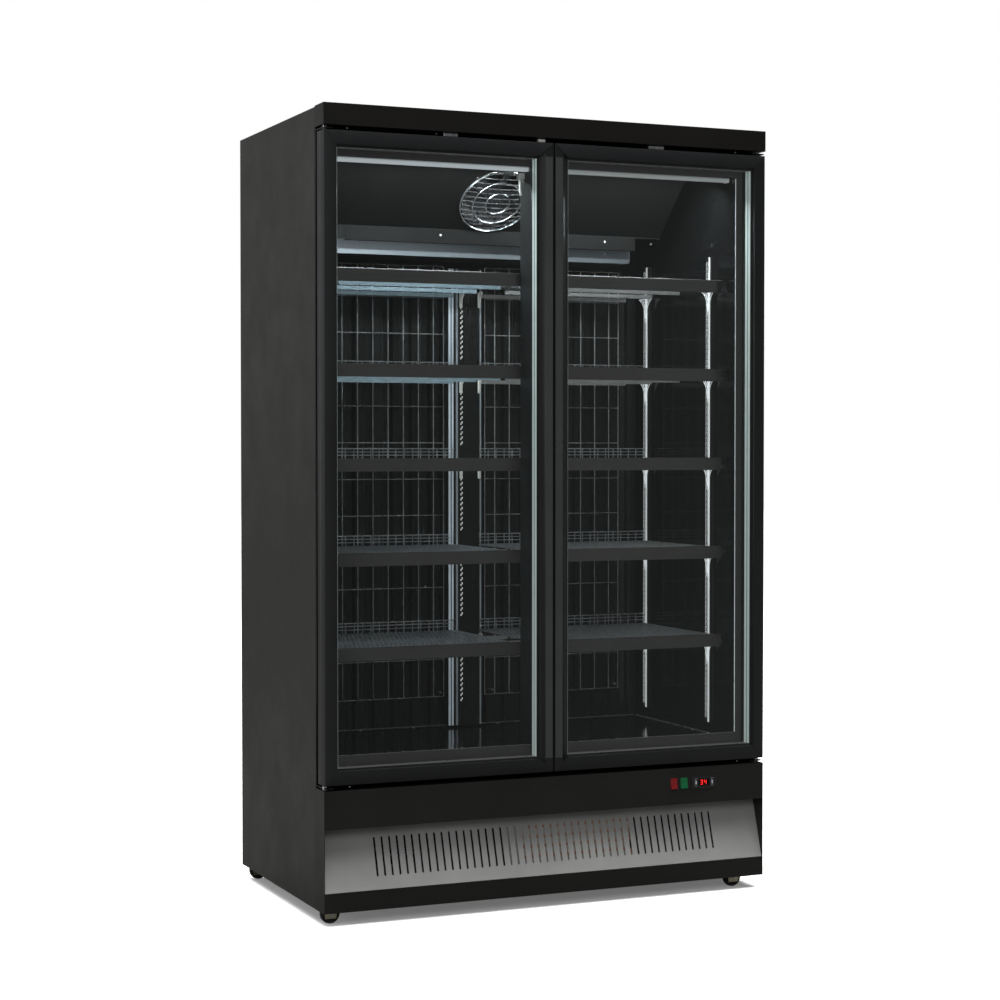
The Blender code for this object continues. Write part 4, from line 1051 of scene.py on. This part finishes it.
def build_caster(front, side):
    """A tyre with rounded flanks, pressed cheeks on the fork and a nut on each end of the axle."""
    word = "{}_{}".format("front" if front else "rear", "left" if side < 0 else "right")
    fork_low, fork_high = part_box("caster_fork_" + word)
    wheel_low, wheel_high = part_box("caster_wheel_" + word)
    x = (wheel_low.x + wheel_high.x) / 2
    y = (wheel_low.y + wheel_high.y) / 2
    centre = Vector((x, y, (wheel_low.z + wheel_high.z) / 2))
    half = (wheel_high.y - wheel_low.y) / 2
    radius = (wheel_high.z - wheel_low.z) / 2
    flank = [(WHEEL_BORE, 0.0), (radius * 0.52, 0.0), (radius * 0.56, 0.0008), (radius * 0.8, 0.0004),
             (radius * 0.93, 0.001), (radius * 0.985, 0.0035)]
    section = [(reach, -half + inset) for reach, inset in flank] + [(radius, 0.0)]
    section += [(reach, half - inset) for reach, inset in reversed(flank)] + [(WHEEL_BORE, -half)]
    tyre = Shape()
    tyre.turned(section, centre, (0, 1, 0), 48)
    piece = tyre.piece("wheel_tread_" + word, TYRE, "caster_tyre", "wheel_" + word)
    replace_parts(piece, "caster_wheel_" + word)
    cheeks = Shape()
    for way, edge in ((-1, fork_low.y), (1, fork_high.y)):
        y0, y1 = sorted((edge + way * 0.0001, edge + way * 0.0011))
        cheeks.prism([(x - 0.017, 0.014), (x + 0.012, 0.014), (x + 0.017, 0.056), (x - 0.01, 0.06),
                      (x - 0.02, 0.04)], "Y", y0, y1, bevel=0.0002)
    cheeks.piece("caster_cheeks_" + word, ZINC, "zinc_plate", "swivel_" + word)
    nut = Shape()
    for way in (-1, 1):
        edge = fork_low.y - 0.0012 if way < 0 else fork_high.y + 0.0012
        nut.turned(NUT_SECTION, (x, edge, centre.z), (0, way, 0), 6)
    nut.piece("axle_nuts_" + word, STEEL, "zinc_plate", "swivel_" + word)


def build_all():
    """Every piece, from the doors to the casters."""
    for side, word in SIDES:
        build_door(side, word)
    build_spacer_liners()
    for side, word, level in SHELVES:
        build_shelf(side, word, level)
    build_rear_grids()
    build_column()
    build_upright_slots()
    build_fan_guard()
    build_evaporator_trim()
    build_light_bar_ends()
    build_tray_face()
    build_opening_trim()
    build_floor_beads()
    build_dust_screen()
    build_side_beads()
    build_top_gap_hardware()
    build_rear_details()
    build_condenser_tubes()
    build_controls()
    for front in (True, False):
        for side, word in SIDES:
            build_caster(front, side)


# ---------------------------------------------------------------- stage, lights and camera
ROOM_LEFT = 0.55
ROOM_RIGHT = 0.1
FLOOR_HALF = 30.0
FLOOR_PALE = (0.86, 0.86, 0.86)
FLOOR_GLOW = 0.16
SUN_ENERGY = 3.6
SUN_SPREAD = 80
LENS = 77.25
SENSOR = 36.0
CAMERA_PLACE = (-2.3348, -5.3728, 1.1919)
CAMERA_PITCH = -0.0248
CAMERA_YAW = -0.4102
WHITE = (1.0, 1.0, 1.0)


def stage_floor():
    """A pale floor that looks white where it is lit and throws back less light than it shows."""
    data = bpy.data.meshes.new("floor")
    plane = bmesh.new()
    bmesh.ops.create_grid(plane, x_segments=4, y_segments=4, size=FLOOR_HALF)
    plane.to_mesh(data)
    plane.free()
    floor = bpy.data.objects.new("floor", data)
    bpy.context.scene.collection.objects.link(floor)
    pale = Surface("pale_floor", FLOOR_PALE, 0.9, specular=0.0)
    pale.vary_colour(pale.noise(0.6), 0.995, 1.005)
    pale.glow(FLOOR_PALE, FLOOR_GLOW)
    dim = pale.node("ShaderNodeBsdfDiffuse")
    dim.inputs["Color"].default_value = (0.07, 0.07, 0.068, 1.0)
    path = pale.node("ShaderNodeLightPath")
    blend = pale.node("ShaderNodeMixShader")
    pale.link(path.outputs["Is Camera Ray"], blend.inputs["Fac"])
    pale.link(dim.outputs["BSDF"], blend.inputs[1])
    pale.link(pale.shader.outputs["BSDF"], blend.inputs[2])
    pale.link(blend.outputs["Shader"], pale.tree.nodes["Material Output"].inputs["Surface"])
    data.materials.append(pale.material)


def stage_world():
    """White behind the object, and a dim room that is lighter on the left for all other rays."""
    world = bpy.data.worlds.new("studio")
    bpy.context.scene.world = world
    world.use_nodes = True
    tree = world.node_tree
    room = tree.nodes["Background"]
    white = tree.nodes.new("ShaderNodeBackground")
    set_sockets(white, {"Color": (*WHITE, 1.0), "Strength": 1.0})
    path = tree.nodes.new("ShaderNodeLightPath")
    blend = tree.nodes.new("ShaderNodeMixShader")
    where = tree.nodes.new("ShaderNodeTexCoord")
    parts = tree.nodes.new("ShaderNodeSeparateXYZ")
    ramp = tree.nodes.new("ShaderNodeMapRange")
    set_sockets(ramp, {"From Min": -1.0, "From Max": 0.3, "To Min": ROOM_LEFT, "To Max": ROOM_RIGHT})
    tree.links.new(where.outputs["Generated"], parts.inputs["Vector"])
    tree.links.new(parts.outputs["X"], ramp.inputs["Value"])
    tree.links.new(ramp.outputs["Result"], room.inputs["Strength"])
    room.inputs["Color"].default_value = (0.97, 0.98, 1.0, 1.0)
    tree.links.new(path.outputs["Is Camera Ray"], blend.inputs["Fac"])
    tree.links.new(room.outputs["Background"], blend.inputs[1])
    tree.links.new(white.outputs["Background"], blend.inputs[2])
    tree.links.new(blend.outputs["Shader"], tree.nodes["World Output"].inputs["Surface"])


def area_light(name, place, target, size, power, colour=WHITE, glossy=True):
    light = bpy.data.lights.new(name, "AREA")
    light.shape = "RECTANGLE"
    light.size, light.size_y = size
    light.energy = power
    light.color = colour
    item = bpy.data.objects.new(name, light)
    bpy.context.scene.collection.objects.link(item)
    item.location = place
    item.rotation_euler = (Vector(target) - Vector(place)).to_track_quat("-Z", "Y").to_euler()
    item.visible_camera = False
    item.visible_glossy = glossy


def stage_sun():
    """Even light from above, so the floor stays white out to the horizon."""
    light = bpy.data.lights.new("sun", "SUN")
    light.energy = SUN_ENERGY
    light.angle = math.radians(SUN_SPREAD)
    item = bpy.data.objects.new("sun", light)
    bpy.context.scene.collection.objects.link(item)
    item.rotation_euler = Vector((-0.08, -0.1, -1.0)).to_track_quat("-Z", "Y").to_euler()
    item.visible_glossy = False


def stage_lights():
    """Soft light from above, the left and the front, and the lamps in each bay."""
    stage_sun()
    area_light("overhead", (1.0, 1.2, 6.0), (0.0, 0.0, 0.0), (7.0, 7.0), 1500, glossy=False)
    area_light("left_softbox", (-5.0, -0.6, 1.6), (0.0, 0.0, 1.1), (2.4, 3.2), 60)
    area_light("front_fill", (-1.0, -5.5, 3.0), (0.0, 0.0, 1.0), (3.0, 2.0), 60, glossy=False)
    for side, word in SIDES:
        x = side * 0.3
        area_light("bay_top_" + word, (x, -0.205, 1.9), (x, 0.16, 1.00), (0.48, 0.03), 5.5, (0.9, 0.96, 1.0))
        area_light("bay_front_" + word, (x, -0.262, 1.16), (x, 0.3, 1.12), (0.5, 1.4), 3.0,
                   (0.95, 0.98, 1.0), glossy=False)


def stage_camera():
    """The camera at the photograph's angle."""
    lens = bpy.data.cameras.new("camera")
    lens.lens = LENS
    lens.sensor_width = SENSOR
    lens.clip_start = 0.05
    lens.clip_end = 200.0
    camera = bpy.data.objects.new("camera", lens)
    bpy.context.scene.collection.objects.link(camera)
    camera.location = CAMERA_PLACE
    camera.rotation_euler = (math.pi / 2 + CAMERA_PITCH, 0.0, CAMERA_YAW)
    bpy.context.scene.camera = camera


finish_nodes()
build_all()
stage_floor()
stage_world()
stage_lights()
stage_camera()
bpy.context.scene.view_settings.view_transform = "Standard"
